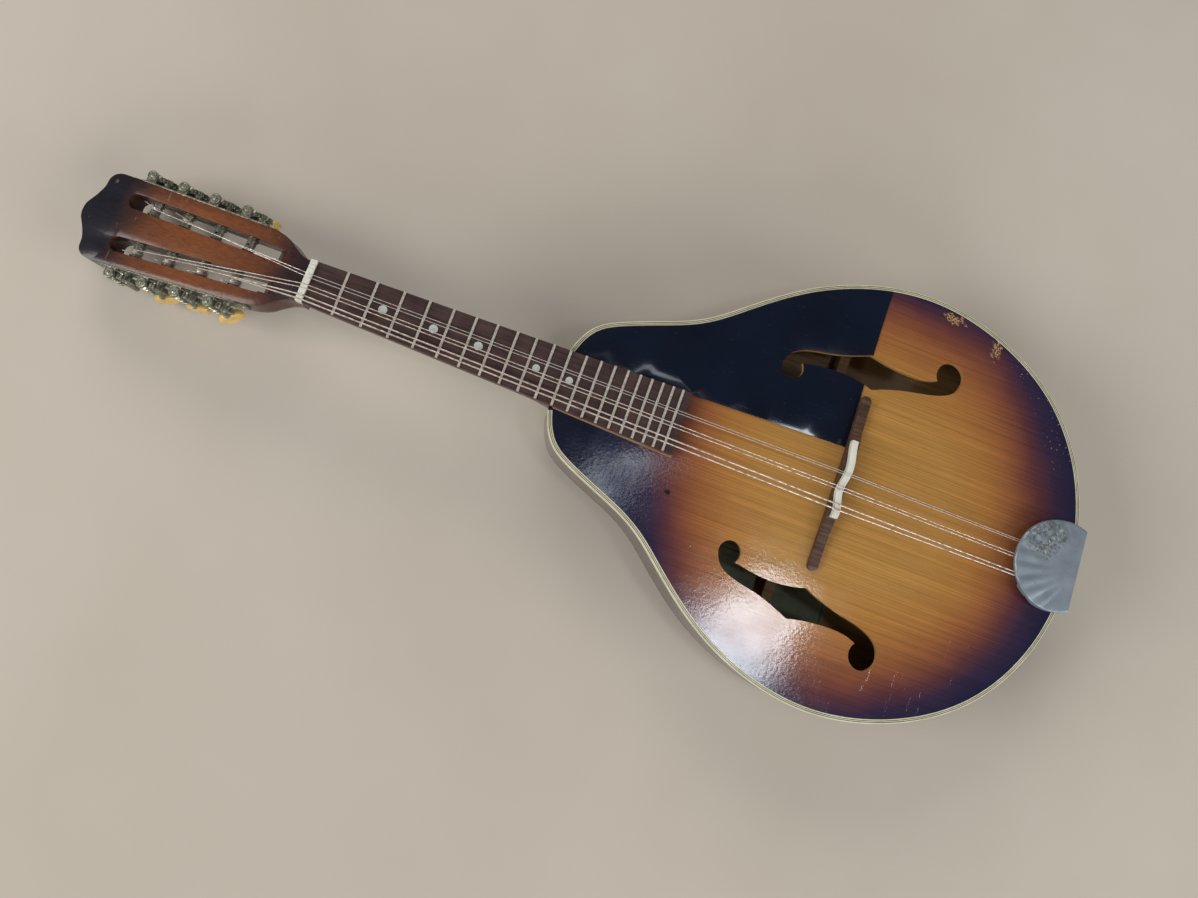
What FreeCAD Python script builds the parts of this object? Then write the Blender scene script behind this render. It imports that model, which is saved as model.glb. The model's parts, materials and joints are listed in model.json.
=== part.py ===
import FreeCAD, Part
import math
import os

# Eight-string mandolin with an arched body and a slotted headstock, lying on its back.
#
# Design coordinates, millimetres: x runs from the nut towards the tail, y towards the treble
# side and z up. The origin is where the nut meets the fingerboard's playing surface.
# save() moves every piece to the part's own origin, which lies under the middle of the
# instrument, on the surface it rests on.

V = FreeCAD.Vector
UP = V(0, 0, 1)
OUTWARD = V(1, 0, 0)        # away from the body, in the tail's frame

# Driving dimensions
SCALE_LENGTH = 350.0
FRET_COUNT = 20
REST_Z = -66.2              # the surface the instrument lies on, under the back's crown

# Body: half outline of the soundboard inside its binding, from the neck joint to the tail
BODY_EDGE = [(166.5, 20), (175, 37.5), (190, 47.3), (212, 56.5), (240, 69.5), (265, 89),
             (298, 114), (335, 131.5), (378, 139.5), (431, 130.3), (477, 103.5), (508, 60), (520, 0)]
BINDING_WIDTH = 3.0
BINDING_HEIGHT = 5.0
EDGE_Z = -7.65              # top of the binding
SIDE_HEIGHT = 48.0          # binding top to the back's outer rim
TOP_THICKNESS = 3.5
TOP_ARCH = 3.5
BACK_THICKNESS = 3.0
ARCH_CENTRE_X = 372.0
FLAT_RIM = 9.0              # width of the unarched rim of both plates
ARCH_GRID = 12.0            # spacing of the points that carry an arched surface
ARCH_START_X = 150.0        # front edge of that grid
ARCH_COLUMNS = 33
ARCH_ROWS = 27
BODY_AREA = (140, 560, -200, 200, -80, 20)   # reaches past the body on every side
LINING_WIDTH = 6.0
LINING_HEIGHT = 12.0
LINING_GAP = 0.5            # between a lining's end and a block
TAIL_LINING_Y = 40.0        # the linings stop this far from the middle at the tail
NECK_BLOCK_END_X = 200.5
NECK_BLOCK_HALF_WIDTH = 38.0
TAIL_BLOCK_START_X = 499.0
TAIL_BLOCK_SIDES = (-32.0, 38.0)

# Tone bars under the soundboard, and braces across the back as x and half length
BAR_START_X = 225.0
BAR_END_X = 480.0
BAR_WIDTH = 6.0
BAR_BOTTOM_Z = -16.0
BAR_Y = 40.0
BAR_SPREAD = 3.0            # degrees off the middle line
BAR_ROOM = 40.0             # more than the height of any bar or brace
BRACES = [(255, 68), (345, 122), (445, 108)]
BRACE_WIDTH = 7.0
BRACE_HEIGHT = 13.0         # top of a brace above the back's rim

# Sound hole, as distances along x and away from the middle of the body
HOLE_SHIFT_Y = -1.3         # both holes sit this far towards the bass side
HOLE_CUT = (-25.0, 5.0)     # heights between which they are cut
HOLE_HEAD_EYE = (302.8, 63.6, 7.4)
HOLE_TAIL_EYE = (405.3, 96.2, 9.5)
HOLE_INNER_HEAD = [(307.5, 68.4), (318, 70.4), (331, 71.8), (345, 71.0), (357, 68.2)]
HOLE_INNER_TAIL = [(357, 68.2), (366, 72), (383, 76.8), (400, 80.8), (410, 86), (414.8, 96.2)]
HOLE_OUTER_TAIL = [(398.5, 90.8), (390, 87.8), (378, 87.0), (362, 88.3), (350.5, 90.7)]
HOLE_OUTER_HEAD = [(350.5, 90.7), (341, 86.8), (328, 82.5), (313, 79.3), (302, 75), (295.4, 63.6)]

PICKGUARD_THICKNESS = 0.6
PICKGUARD_GAP = 0.25        # beside the fingerboard
PICKGUARD_INSET = 0.2       # inside the binding
PICKGUARD_TAIL_X = 351.0
PICKGUARD_TAIL_Y = 24.5
PICKGUARD_SLANT = 0.4       # of its tail end, over its whole width

# Label under the bass sound hole: two sheets, as spans along x
LABEL_SPANS = [(296, 338), (352, 392)]
LABEL_SIDES = (-98.0, -56.0)
LABEL_THICKNESS = 0.2

# Neck and fingerboard
BOARD_LENGTH = 246.0
BOARD_HALF_WIDTH_NUT = 13.8
BOARD_HALF_WIDTH_END = 20.8
BOARD_THICKNESS = 5.0
FRET_CROWN_WIDTH = 1.7
FRET_CROWN_HEIGHT = 1.0
FRET_TANG_WIDTH = 0.6
FRET_TANG_DEPTH = 1.8
DOT_FRETS = [3, 5, 7, 10, 12]
DOT_RADIUS_LOW = 2.8
DOT_RADIUS_HIGH = 2.4
DOT_DEPTH = 1.5
NUT_LENGTH = 4.3
NUT_TOP_Z = 1.9             # at the fingerboard's side
NUT_BACK_Z = 1.2            # at the headstock's side
HEEL_X = 163.6              # front of the body, where the heel is glued
# Neck section stations: x, half width, depth below the fingerboard
NECK_STATIONS = [(-3, 13.6, 13.0), (12, 14.0, 14.0), (60, 15.4, 15.0), (110, 16.9, 16.2),
                 (135, 17.6, 19.0), (150, 18.0, 27.0), (158, 18.2, 37.0), (163.6, 18.3, 45.0)]
# Tongue of the neck, glued under the fingerboard over the body
TONGUE_OVERLAP = 6.0        # into the heel
TONGUE_END_X = 244.0
TONGUE_HALF_WIDTHS = (18.2, 20.0)
TONGUE_BOTTOM_Z = -14.0

# Headstock, in its own frame: u towards the tip, v away from the middle, h above its face
HEAD_TILT = 13.0            # degrees back from the fingerboard
HEAD_START_X = -4.0
HEAD_START_Z = -3.0
HEAD_THICKNESS = 15.0
HEAD_EDGE_V = 24.25         # straight side edge, at u = 0
SPLAY = 0.04                # the side edges, slots and tuners spread by this slope
HEAD_SHOULDER = [(-1.5, 13.6), (5, 13.9), (13, 17.6), (20.5, 22.4), (28, 24.8), (36, 25.69)]
HEAD_CORNER = [(142, 29.93), (150, 28.6), (153.6, 24), (154, 20)]
HEAD_CREST = [(154, 20), (155.6, 15), (159, 9), (161.8, 4.4), (162.5, 0)]
SLOT_V = 9.9                # slot centre line, at u = 0
SLOT_HALF_WIDTH = 5.15
SLOT_START_U = 27.0
SLOT_END_U = 134.5
SLOT_DEPTH = 30.0           # deeper than the headstock is thick
RAMP_START_U = 18.0         # the strings run down this ramp into the slot
RAMP_DEPTH = 8.0
RAMP_INSET = 0.8            # the ramp is this much narrower than the slot on each side

# Tuners, in a side frame: s along the headstock's edge, o outwards from it, h above its face
TUNER_PITCH = 23.7
FIRST_POST_S = 46.9
POST_H = -6.5
POST_RADIUS = 3.0
RUNNING_CLEARANCE = 0.05
POST_TAIL = 4.0             # how far a post enters the headstock's middle rail
POST_END_PLAY = 0.5
PLATE_THICKNESS = 1.0
PLATE_START_S = 32.0
PLATE_END_S = 140.0
PLATE_SHOULDERS = (8.0, 5.0)                 # its tall part reaches this far past the end tuners
PLATE_END_HALF_HEIGHT = 3.6
DRIVE_O = 5.2               # worm axis and middle of the gear, out from the wood
MODULE = 0.8
GEAR_TEETH = 14
GEAR_FACE = 3.0
WORM_PITCH_RADIUS = 2.5
WORM_CORE_RADIUS = 1.5
PRESSURE_ANGLE = 20.0
WORM_TURNS = 3.0
TOOTH_ROOT = (4.6, 1.15)    # radius and tooth thickness there
TOOTH_PITCH = (5.6, 1.02)
TOOTH_TIP = (6.35, 0.34)
EAR_RADIUS = 3.4
EAR_THICKNESS = 1.2
UPPER_EAR_H = 0.0           # top face of the upper ear
LOWER_EAR_H = -13.2         # top face of the lower ear
KNOB_WIDTH = 17.0
KNOB_LENGTH = 12.4
KNOB_THICKNESS = 6.0
KNOB_TILT_ALLOWANCE = 0.3   # a tilted oval reaches this much lower than its middle
KNOB_EDGE_RADIUS = 2.52
KNOB_BORE_DEPTH = 8.4       # from the knob's top edge down to the end of its shaft's hole
STEM_RADII = (2.6, 2.1)     # collar on top of a knob
STEM_HEIGHT = 2.4
BARE_SHAFT_END_H = -30.0    # end of the shaft that has lost its knob
SHAFT_HEAD_RADIUS = 2.5
SHAFT_HEAD_HEIGHT = 0.8
SHAFT_COLLAR_HEIGHT = 1.6
EAR_PLAY = 0.1              # between a shaft's head or collar and the ears
GEAR_SCREW_RADIUS = 1.2
GEAR_SCREW_HEAD_RADIUS = 2.3
GEAR_SCREW_HEAD_HEIGHT = 1.0
SCREW_SLOT_WIDTH = 0.6
STRING_HOLE_RADIUS = 0.8
PLATE_SCREW_RADIUS = 0.9
PLATE_SCREW_LENGTH = 8.0
PLATE_SCREW_HEAD = (2.0, 1.2, 0.9)           # radius at the plate, radius on top, height
PLATE_SCREW_INSET = 3.5     # from each end of the plate
KNOB_TURNS_BASS = [40.0, 0.0, 15.0]          # degrees; the last bass knob is missing
KNOB_TURNS_TREBLE = [-50.0, 5.0, -8.0, 0.0]

# Bridge
BRIDGE_CENTRE_Y = 1.5
BRIDGE_HALF_LENGTH = 59.7
BRIDGE_HALF_WIDTH = 3.3
BRIDGE_BOTTOM_Z = -12.0      # below the arch it is fitted to
# Upper edge of one wing: distance from the bridge's middle, and height
BRIDGE_WING = [(59.7, -3.6), (56.7, -1.8), (45, -1.6), (34, -0.4), (27, 1.4)]
SADDLE_X = 355.0
SADDLE_BOTTOM_Z = 0.4
SADDLE_TOP_Z = 5.6
SADDLE_HALF_WIDTH = 2.1
# Compensation: y along the saddle, and how far its middle line steps towards the tail there
SADDLE_WAVE = [(-22.7, 0.7), (-15, 0.9), (-7, -0.9), (0, -0.4),
               (6, 0.9), (14, 1.0), (22, -0.4), (28.6, -1.0)]

# Strings: name, radius, y at the nut, saddle and hook, side of the headstock and post number
STRINGS = [("a1", 0.19, 4.4, 7.0, 8.1, 1, 3), ("a2", 0.19, 2.2, 5.6, 6.9, 1, 2),
           ("d1", 0.33, -2.5, -2.7, -1.7, -1, 3), ("d2", 0.33, -4.9, -4.7, -3.5, -1, 2),
           ("g1", 0.5, -9.5, -13.9, -12.7, -1, 1), ("g2", 0.5, -12.3, -17.3, -14.6, -1, 0)]
E_NOTCHES = [(10.6, 0.14), (8.2, 0.14)]      # y and string radius of the pair that is missing
E_HOOKS_Y = [19.0, 17.0]
NOTCH_Z = 1.0
NOTCH_PLAY = 0.06           # a notch is wider than its string by this much on each side
NOTCH_TOP_Z = 6.0
NOTCH_FALL = 22.0           # degrees that a notch falls away towards the headstock
STRING_LIFT = 0.08          # a string's line clears the saddle and nut by this much
HOOK_X = 505.0
HOOK_Z = -2.6
WRAP_TURNS = 3
WRAP_GAP = 0.06             # between the wraps and the post, and between turns
BEND_RADIUS = 4.0

# Tailpiece, in a frame at the tail: origin on the rib, x outwards, turned with the rib there
TAIL_X = 523.1
TAIL_Y = 0.9
TAIL_TURN = 2.1             # degrees
BASE_THICKNESS = 1.2
BASE_EDGE_GAP = 0.8          # between the plate's edge and the cover's wall
BASE_LENGTH = 35.0
BASE_HALF_WIDTH = 25.0
BASE_Z = -5.9
LEG_HALF_WIDTH = 13.0
LEG_BOTTOM_Z = -47.0
COVER_RADIUS = 30.0
COVER_FRONT_X = -44.8       # in the tail's frame, as is its straight back edge
COVER_BACK_X = -2.7
COVER_TOP_Z = 3.4
COVER_RIM_Z = -0.4          # top of the string opening in the cover's front
COVER_SIDE_Z = -4.3         # the curved rim ends here, just above the base plate
COVER_BOTTOM_Z = -6.8
COVER_SHEET = 0.8
COVER_LIP_HALF_WIDTH = 24.0  # the side walls fold under the base plate as far as this
STRING_OPENING_END = -35.0  # in the tail's frame; the strings pass under the rim up to here
HOOK_WIDTH = 1.5
# Side view of a string hook: x in the tail's frame, and height above the base plate
HOOK_PROFILE = [(-17.4, -0.2), (-16.2, -0.2), (-14.4, 3.2), (-15.6, 3.6)]
END_PIN_Z = -30.0
END_PIN_SHANK_RADIUS = 3.6
END_PIN_NECK_RADIUS = 3.4
END_PIN_HEAD_RADIUS = 6.0
END_PIN_HEAD_LENGTH = 5.0
END_PIN_NECK_LENGTH = 5.5
END_PIN_SHANK_LENGTH = 19.0
SCREW_RADIUS = 1.4
SCREW_LENGTH = 14.0
SCREW_HEAD_RADIUS = 2.6
SCREW_HEAD_HEIGHT = 1.4
SCREW_PLACES = [(-8.5, -16.0), (8.5, -16.0), (0.0, -41.5)]   # y and z on the leg

# The origin of the part: halfway between the headstock's tip and the end pin's head
TILT = math.radians(HEAD_TILT)
TAIL_ANGLE = math.radians(TAIL_TURN)
TIP_X = HEAD_START_X - HEAD_CREST[-1][0] * math.cos(TILT)
PIN_REACH = BASE_THICKNESS + END_PIN_NECK_LENGTH + END_PIN_HEAD_LENGTH
END_X = TAIL_X + PIN_REACH * math.cos(TAIL_ANGLE) + END_PIN_HEAD_RADIUS * math.sin(TAIL_ANGLE)
ORIGIN = V((TIP_X + END_X) / 2, 0, REST_Z)


def save(name, *shapes):
    """Write one sub-part, moved to the part's own origin."""
    shape = shapes[0] if len(shapes) == 1 else Part.makeCompound(list(shapes))
    moved = shape.copy()
    moved.translate(ORIGIN * -1)
    moved.exportStep("parts/" + name + ".step")


# Helpers

def box(x0, x1, y0, y1, z0, z1):
    return Part.makeBox(x1 - x0, y1 - y0, z1 - z0, V(x0, y0, z0))


def body_part(x0=BODY_AREA[0], x1=BODY_AREA[1], y0=BODY_AREA[2], y1=BODY_AREA[3]):
    """A box around all of the body, cut short on the sides that are given."""
    return box(x0, x1, y0, y1, *BODY_AREA[4:])


def cylinder(radius, length, start, direction=UP):
    return Part.makeCylinder(radius, length, start, direction)


def spline(points, start=None, end=None):
    """A smooth curve through points, leaving and arriving in the directions given."""
    curve = Part.BSplineCurve()
    if start is None:
        curve.interpolate(Points=points)
    else:
        unit_start, unit_end = V(start).normalize(), V(end).normalize()
        curve.interpolate(Points=points, InitialTangent=unit_start, FinalTangent=unit_end, Scale=False)
    return curve


def prism(edges, z0, z1):
    """A solid between two heights over a closed run of edges drawn at z = 0."""
    face = Part.Face(Part.Wire(edges))
    face.translate(V(0, 0, z0))
    return face.extrude(V(0, 0, z1 - z0))


def flat(points):
    """Points of a plan, at z = 0."""
    return [V(x, y, 0) for x, y in points]


def polygon_edges(points):
    corners = flat(points)
    return Part.makePolygon(corners + corners[:1]).Edges


def line(start, end):
    return Part.LineSegment(start, end).toShape()


def arc(start, middle, end):
    return Part.Arc(start, middle, end).toShape()


def sheet(profile, depth):
    """A closed profile in an upright plane, given a depth along y or x."""
    return Part.Face(Part.makePolygon(profile + profile[:1])).extrude(depth)


def mirrored(shape):
    """The same shape on the other side of the middle plane."""
    return shape.mirror(V(0, 0, 0), V(0, 1, 0))


def tube(points, radius, bend):
    """A round wire along straight runs joined by tangent arcs."""
    edges = []
    start = points[0]
    for before, corner, after in zip(points, points[1:], points[2:]):
        into = (corner - before).normalize()
        away = (after - corner).normalize()
        turn = into.getAngle(away)
        cut = bend * math.tan(turn / 2)
        arc_start = corner - into * cut
        arc_end = corner + away * cut
        inward = (away - into).normalize()
        middle = corner + inward * (bend / math.cos(turn / 2) - bend)
        edges.append(line(start, arc_start))
        edges.append(arc(arc_start, middle, arc_end))
        start = arc_end
    edges.append(line(start, points[-1]))
    path = Part.Wire(edges)
    circle = Part.Wire(Part.makeCircle(radius, points[0], points[1] - points[0]))
    return path.makePipeShell([circle], True, False)


# Body

def outline_halves(offset):
    """The treble and bass halves of the outline, moved outwards by an offset."""
    master = spline(flat(BODY_EDGE), V(0.3, 1, 0), V(0, -1, 0))
    first, last = master.FirstParameter, master.LastParameter
    count = 44
    moved = []
    for i in range(count + 1):
        place = first + (last - first) * i / count
        along = master.tangent(place)[0]
        moved.append(master.value(place) + V(-along.y, along.x, 0) * offset)
    treble = spline(moved, V(0.3, 1, 0), V(0, -1, 0))
    bass_points = [V(p.x, -p.y, 0) for p in reversed(moved)]
    bass = spline(bass_points, V(0, -1, 0), V(-0.3, 1, 0))
    return treble, bass


def outline_prism(offset, z0, z1):
    treble, bass = outline_halves(offset)
    front = line(bass.EndPoint, treble.StartPoint)
    return prism([treble.toShape(), bass.toShape(), front], z0, z1)


def edge_distances():
    """Direction and distance from the arch's centre to the outline, in order of direction."""
    treble, _ = outline_halves(0)
    polar = []
    for point in treble.discretize(Number=181):
        dx = point.x - ARCH_CENTRE_X
        polar.append((math.atan2(point.y, dx), math.hypot(dx, point.y)))
    return sorted(polar)


def edge_distance(polar, angle):
    """Distance from the arch's centre to the outline in one direction."""
    if angle >= polar[-1][0]:
        return (ARCH_CENTRE_X - BODY_EDGE[0][0]) / -math.cos(angle)
    for (low, near), (high, far) in zip(polar, polar[1:]):
        if angle <= high:
            return near + (far - near) * (angle - low) / (high - low)
    return polar[-1][1]


def arched_surface(edge_z, arch):
    """A smooth arch that flattens to a level rim at the outline."""
    polar = edge_distances()
    rows = []
    for i in range(ARCH_COLUMNS):
        row = []
        for j in range(ARCH_ROWS):
            x = ARCH_START_X + i * ARCH_GRID
            y = (j - ARCH_ROWS // 2) * ARCH_GRID
            reach = math.hypot(x - ARCH_CENTRE_X, y)
            limit = edge_distance(polar, math.atan2(abs(y), x - ARCH_CENTRE_X)) - FLAT_RIM
            ratio = min(reach / limit, 1.0)
            row.append(V(x, y, edge_z + arch * (1 - ratio ** 2) ** 2))
        rows.append(row)
    surface = Part.BSplineSurface()
    surface.interpolate(rows)
    return surface.toShape()


def arched_layer(surface, z_from, z_to):
    """The space between two copies of a surface, moved up or down."""
    lower = surface.copy()
    lower.translate(V(0, 0, z_from))
    return lower.extrude(V(0, 0, z_to - z_from))


def sound_hole(side):
    """Cutter for one f-hole: two round eyes and the curved slot between them."""
    runs = [flat(run) for run in (HOLE_INNER_HEAD, HOLE_INNER_TAIL, HOLE_OUTER_TAIL, HOLE_OUTER_HEAD)]
    head_eye = V(HOLE_HEAD_EYE[0], HOLE_HEAD_EYE[1], 0)
    tail_eye = V(HOLE_TAIL_EYE[0], HOLE_TAIL_EYE[1], 0)
    edges = [spline(run).toShape() for run in runs]
    edges += [line(runs[1][-1], tail_eye), line(tail_eye, runs[2][0])]
    edges += [line(runs[3][-1], head_eye), line(head_eye, runs[0][0])]
    slot = prism(Part.sortEdges(edges)[0], *HOLE_CUT)
    for x, y, radius in (HOLE_HEAD_EYE, HOLE_TAIL_EYE):
        slot = slot.fuse(cylinder(radius, HOLE_CUT[1] - HOLE_CUT[0], V(x, y, HOLE_CUT[0])))
    if side < 0:
        slot = mirrored(slot)
    slot.translate(V(0, HOLE_SHIFT_Y, 0))
    return slot


def board_half_width(x):
    share = x / BOARD_LENGTH
    return BOARD_HALF_WIDTH_NUT + (BOARD_HALF_WIDTH_END - BOARD_HALF_WIDTH_NUT) * share


def back_rim_z():
    return EDGE_Z - SIDE_HEIGHT


def make_body(top, back):
    holes = [sound_hole(1), sound_hole(-1)]
    inside_plan = outline_prism(0, *BODY_AREA[4:])
    outside_plan = outline_prism(BINDING_WIDTH, *BODY_AREA[4:])
    plate = arched_layer(top, -TOP_THICKNESS, 0).common(inside_plan)
    save("soundboard", plate.cut(holes[0]).cut(holes[1]))
    save("back_plate", arched_layer(back, 0, BACK_THICKNESS).common(outside_plan))

    rib_bottom = back_rim_z() + BACK_THICKNESS
    rib_top = EDGE_Z - BINDING_HEIGHT
    ring = outline_prism(BINDING_WIDTH, rib_bottom, rib_top).cut(inside_plan)
    ring = drilled_for_tailpiece(ring)
    save("rib_treble", ring.common(body_part(y0=0)))
    save("rib_bass", ring.common(body_part(y1=0)))
    save("top_binding", outline_prism(BINDING_WIDTH, rib_top, EDGE_Z).cut(inside_plan))

    make_linings(rib_bottom)
    make_blocks(rib_bottom)
    make_bars(top, back)
    make_pickguard(top, holes[0])
    make_label(back)


def make_linings(rib_bottom):
    lining_top = EDGE_Z - TOP_THICKNESS
    inner = outline_prism(-LINING_WIDTH, *BODY_AREA[4:])
    front = body_part(x1=NECK_BLOCK_END_X + LINING_GAP)
    back = body_part(x0=TAIL_BLOCK_START_X - LINING_GAP, y0=-TAIL_LINING_Y, y1=TAIL_LINING_Y)
    for name, z0, z1 in (("top_linings", lining_top - LINING_HEIGHT, lining_top),
                         ("back_linings", rib_bottom, rib_bottom + LINING_HEIGHT)):
        lining = outline_prism(0, z0, z1).cut(inner)
        save(name, lining.cut(front).cut(back))


def make_blocks(rib_bottom):
    inside = outline_prism(0, rib_bottom, EDGE_Z - TOP_THICKNESS)
    half = NECK_BLOCK_HALF_WIDTH
    save("neck_block", inside.common(body_part(x1=NECK_BLOCK_END_X, y0=-half, y1=half)))
    bass_side, treble_side = TAIL_BLOCK_SIDES
    tail_block = inside.common(body_part(x0=TAIL_BLOCK_START_X, y0=bass_side, y1=treble_side))
    save("tail_block", drilled_for_tailpiece(tail_block))


def make_bars(top, back):
    """Two tone bars under the soundboard and three braces across the back."""
    under_top = arched_layer(top, -TOP_THICKNESS - BAR_ROOM, -TOP_THICKNESS)
    middle = V((BAR_START_X + BAR_END_X) / 2, 0, 0)
    bars = []
    for side in (1, -1):
        bar = box(BAR_START_X, BAR_END_X, -BAR_WIDTH / 2, BAR_WIDTH / 2, BAR_BOTTOM_Z, 5)
        bar.rotate(middle, UP, side * BAR_SPREAD)
        bar.translate(V(0, side * BAR_Y, 0))
        bars.append(bar.common(under_top).common(body_part(BAR_START_X, BAR_END_X)))
    save("tone_bars", *bars)

    over_back = arched_layer(back, BACK_THICKNESS, BACK_THICKNESS + BAR_ROOM)
    brace_top = back_rim_z() + BRACE_HEIGHT
    braces = []
    for x, half_length in BRACES:
        brace = box(x - BRACE_WIDTH / 2, x + BRACE_WIDTH / 2, -half_length, half_length, REST_Z, brace_top)
        braces.append(brace.common(over_back))
    save("back_braces", *braces)


def make_pickguard(top, hole):
    """Thin sheet on the top, from beside the fingerboard out to the binding and round the sound hole."""
    layer = arched_layer(top, 0, PICKGUARD_THICKNESS)
    layer = layer.common(outline_prism(-PICKGUARD_INSET, *BODY_AREA[4:]))
    beyond_y = BODY_AREA[3]
    region = polygon_edges([(ARCH_START_X, board_half_width(ARCH_START_X) + PICKGUARD_GAP),
                            (BOARD_LENGTH, BOARD_HALF_WIDTH_END + PICKGUARD_GAP),
                            (PICKGUARD_TAIL_X + PICKGUARD_SLANT, PICKGUARD_TAIL_Y),
                            (PICKGUARD_TAIL_X - PICKGUARD_SLANT, beyond_y), (ARCH_START_X, beyond_y)])
    save("pickguard", layer.common(prism(region, *BODY_AREA[4:])).cut(hole))


def make_label(back):
    paper = arched_layer(back, BACK_THICKNESS, BACK_THICKNESS + LABEL_THICKNESS)
    sheets = [paper.common(body_part(x0, x1, *LABEL_SIDES)) for x0, x1 in LABEL_SPANS]
    save("paper_label", *sheets)


# Neck, headstock and fingerboard

def head_placement():
    """Headstock frame: x towards the tip, y towards the bass side, z out of its face."""
    matrix = FreeCAD.Matrix()
    matrix.A11, matrix.A31 = -math.cos(TILT), -math.sin(TILT)
    matrix.A22 = -1
    matrix.A13, matrix.A33 = -math.sin(TILT), math.cos(TILT)
    matrix.A14, matrix.A34 = HEAD_START_X, HEAD_START_Z
    return FreeCAD.Placement(matrix)


def bass_side_placement():
    """Frame of the bass side's tuners: x along the edge, y outwards, z out of the face."""
    splay = FreeCAD.Rotation(UP, math.degrees(math.atan(SPLAY)))
    return head_placement().multiply(FreeCAD.Placement(V(0, HEAD_EDGE_V, 0), splay))


def placed(shape, placement):
    moved = shape.copy()
    moved.Placement = placement.multiply(moved.Placement)
    return moved


def neck_section(x, half_width, depth):
    """A rounded section of the neck, flat against the fingerboard."""
    top = -BOARD_THICKNESS
    curve = []
    for i in range(9):
        angle = math.pi * i / 8
        reach = math.copysign(abs(math.cos(angle)) ** 0.8, math.cos(angle))
        curve.append(V(x, half_width * reach, top - depth * math.sin(angle) ** 0.9))
    return Part.Wire([spline(curve).toShape(), line(curve[-1], curve[0])])


def head_outline():
    """Edges of the headstock's face, in the headstock frame."""
    edges = []
    starts = []
    for side in (1, -1):
        shoulder, corner, crest = [flat((u, side * v) for u, v in run)
                                   for run in (HEAD_SHOULDER, HEAD_CORNER, HEAD_CREST)]
        edges.append(spline(shoulder).toShape())
        edges.append(line(shoulder[-1], corner[0]))
        edges.append(spline(corner, V(1, side * SPLAY, 0), V(0.2, -side, 0)).toShape())
        edges.append(spline(crest, V(0.1, -side, 0), V(0, -side, 0)).toShape())
        starts.append(shoulder[0])
    edges.append(line(*starts))
    return Part.sortEdges(edges)[0]


def head_slot():
    """Cutter for the bass slot: square at the nut's end with a ramp, round at the tip's end."""
    half = SLOT_HALF_WIDTH
    slot = box(SLOT_START_U, SLOT_END_U - half, -half, half, -SLOT_DEPTH, SLOT_DEPTH)
    slot = slot.fuse(cylinder(half, 2 * SLOT_DEPTH, V(SLOT_END_U - half, 0, -SLOT_DEPTH)))
    inner = half - RAMP_INSET
    ramp = sheet([V(RAMP_START_U, -inner, 0.5), V(SLOT_START_U + 1, -inner, 0.5),
                  V(SLOT_START_U + 1, -inner, -RAMP_DEPTH - 1), V(SLOT_START_U, -inner, -RAMP_DEPTH)],
                 V(0, 2 * inner, 0))
    slot = slot.fuse(ramp)
    slot.rotate(V(0, 0, 0), UP, math.degrees(math.atan(SPLAY)))
    slot.translate(V(0, SLOT_V, 0))
    return slot


def post_hole(number):
    """Cutter for one post: through the side rail and the slot, blind in the middle rail."""
    depth = HEAD_EDGE_V - SLOT_V + SLOT_HALF_WIDTH + POST_TAIL + POST_END_PLAY
    start = V(post_s(number), 2 * PLATE_THICKNESS, POST_H)
    return cylinder(POST_RADIUS + RUNNING_CLEARANCE, start.y + depth, start, V(0, -1, 0))


def make_neck(top):
    shaft = Part.makeLoft([neck_section(*station) for station in NECK_STATIONS], True)
    head = placed(prism(head_outline(), -HEAD_THICKNESS, 0), head_placement())
    slot = placed(head_slot(), head_placement())
    head = head.cut(slot).cut(mirrored(slot))
    cutters = [post_hole(number) for number in range(4)] + [plate_screw(s) for s in plate_screw_places()]
    for cutter in cutters:
        hole = placed(cutter, bass_side_placement())
        head = head.cut(hole).cut(mirrored(hole))
    reach = HEAD_EDGE_V
    head = head.cut(box(-NUT_LENGTH, reach, -reach, reach, -BOARD_THICKNESS, reach))
    neck = shaft.fuse([head, neck_tongue(top)]).removeSplitter()
    save("neck", neck)


def neck_tongue(top):
    """Wood between the arched top and the fingerboard, let into the heel."""
    start = HEEL_X - TONGUE_OVERLAP
    narrow, wide = TONGUE_HALF_WIDTHS
    plan = polygon_edges([(start, -narrow), (TONGUE_END_X, -wide), (TONGUE_END_X, wide), (start, narrow)])
    tongue = prism(plan, TONGUE_BOTTOM_Z, -BOARD_THICKNESS)
    in_heel = box(start, HEEL_X, -wide, wide, TONGUE_BOTTOM_Z, 0)
    tongue = tongue.common(arched_layer(top, 0, BAR_ROOM).fuse(in_heel))
    return tongue.cut(outline_prism(BINDING_WIDTH, BODY_AREA[4], EDGE_Z))


def fret_x(number):
    return SCALE_LENGTH * (1 - 2 ** (-number / 12))


def dot_places():
    for number in DOT_FRETS:
        x = (fret_x(number) + fret_x(number - 1)) / 2
        radius = DOT_RADIUS_LOW if number < DOT_FRETS[-2] else DOT_RADIUS_HIGH
        yield x, radius


def make_fingerboard():
    start, end = BOARD_HALF_WIDTH_NUT, BOARD_HALF_WIDTH_END
    plan = polygon_edges([(0, -start), (BOARD_LENGTH, -end), (BOARD_LENGTH, end), (0, start)])
    board = prism(plan, -BOARD_THICKNESS, 0)
    frets = []
    for number in range(1, FRET_COUNT + 1):
        x = fret_x(number)
        half = board_half_width(x)
        tang = box(x - FRET_TANG_WIDTH / 2, x + FRET_TANG_WIDTH / 2, -half, half, -FRET_TANG_DEPTH, 0)
        board = board.cut(tang)
        frets.append(fret_crown(x, half).fuse(tang))
    dots = [cylinder(radius, DOT_DEPTH, V(x, 0, -DOT_DEPTH)) for x, radius in dot_places()]
    for dot in dots:
        board = board.cut(dot)
    save("fingerboard", board)
    save("frets", *frets)
    save("position_dots", *dots)


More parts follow.
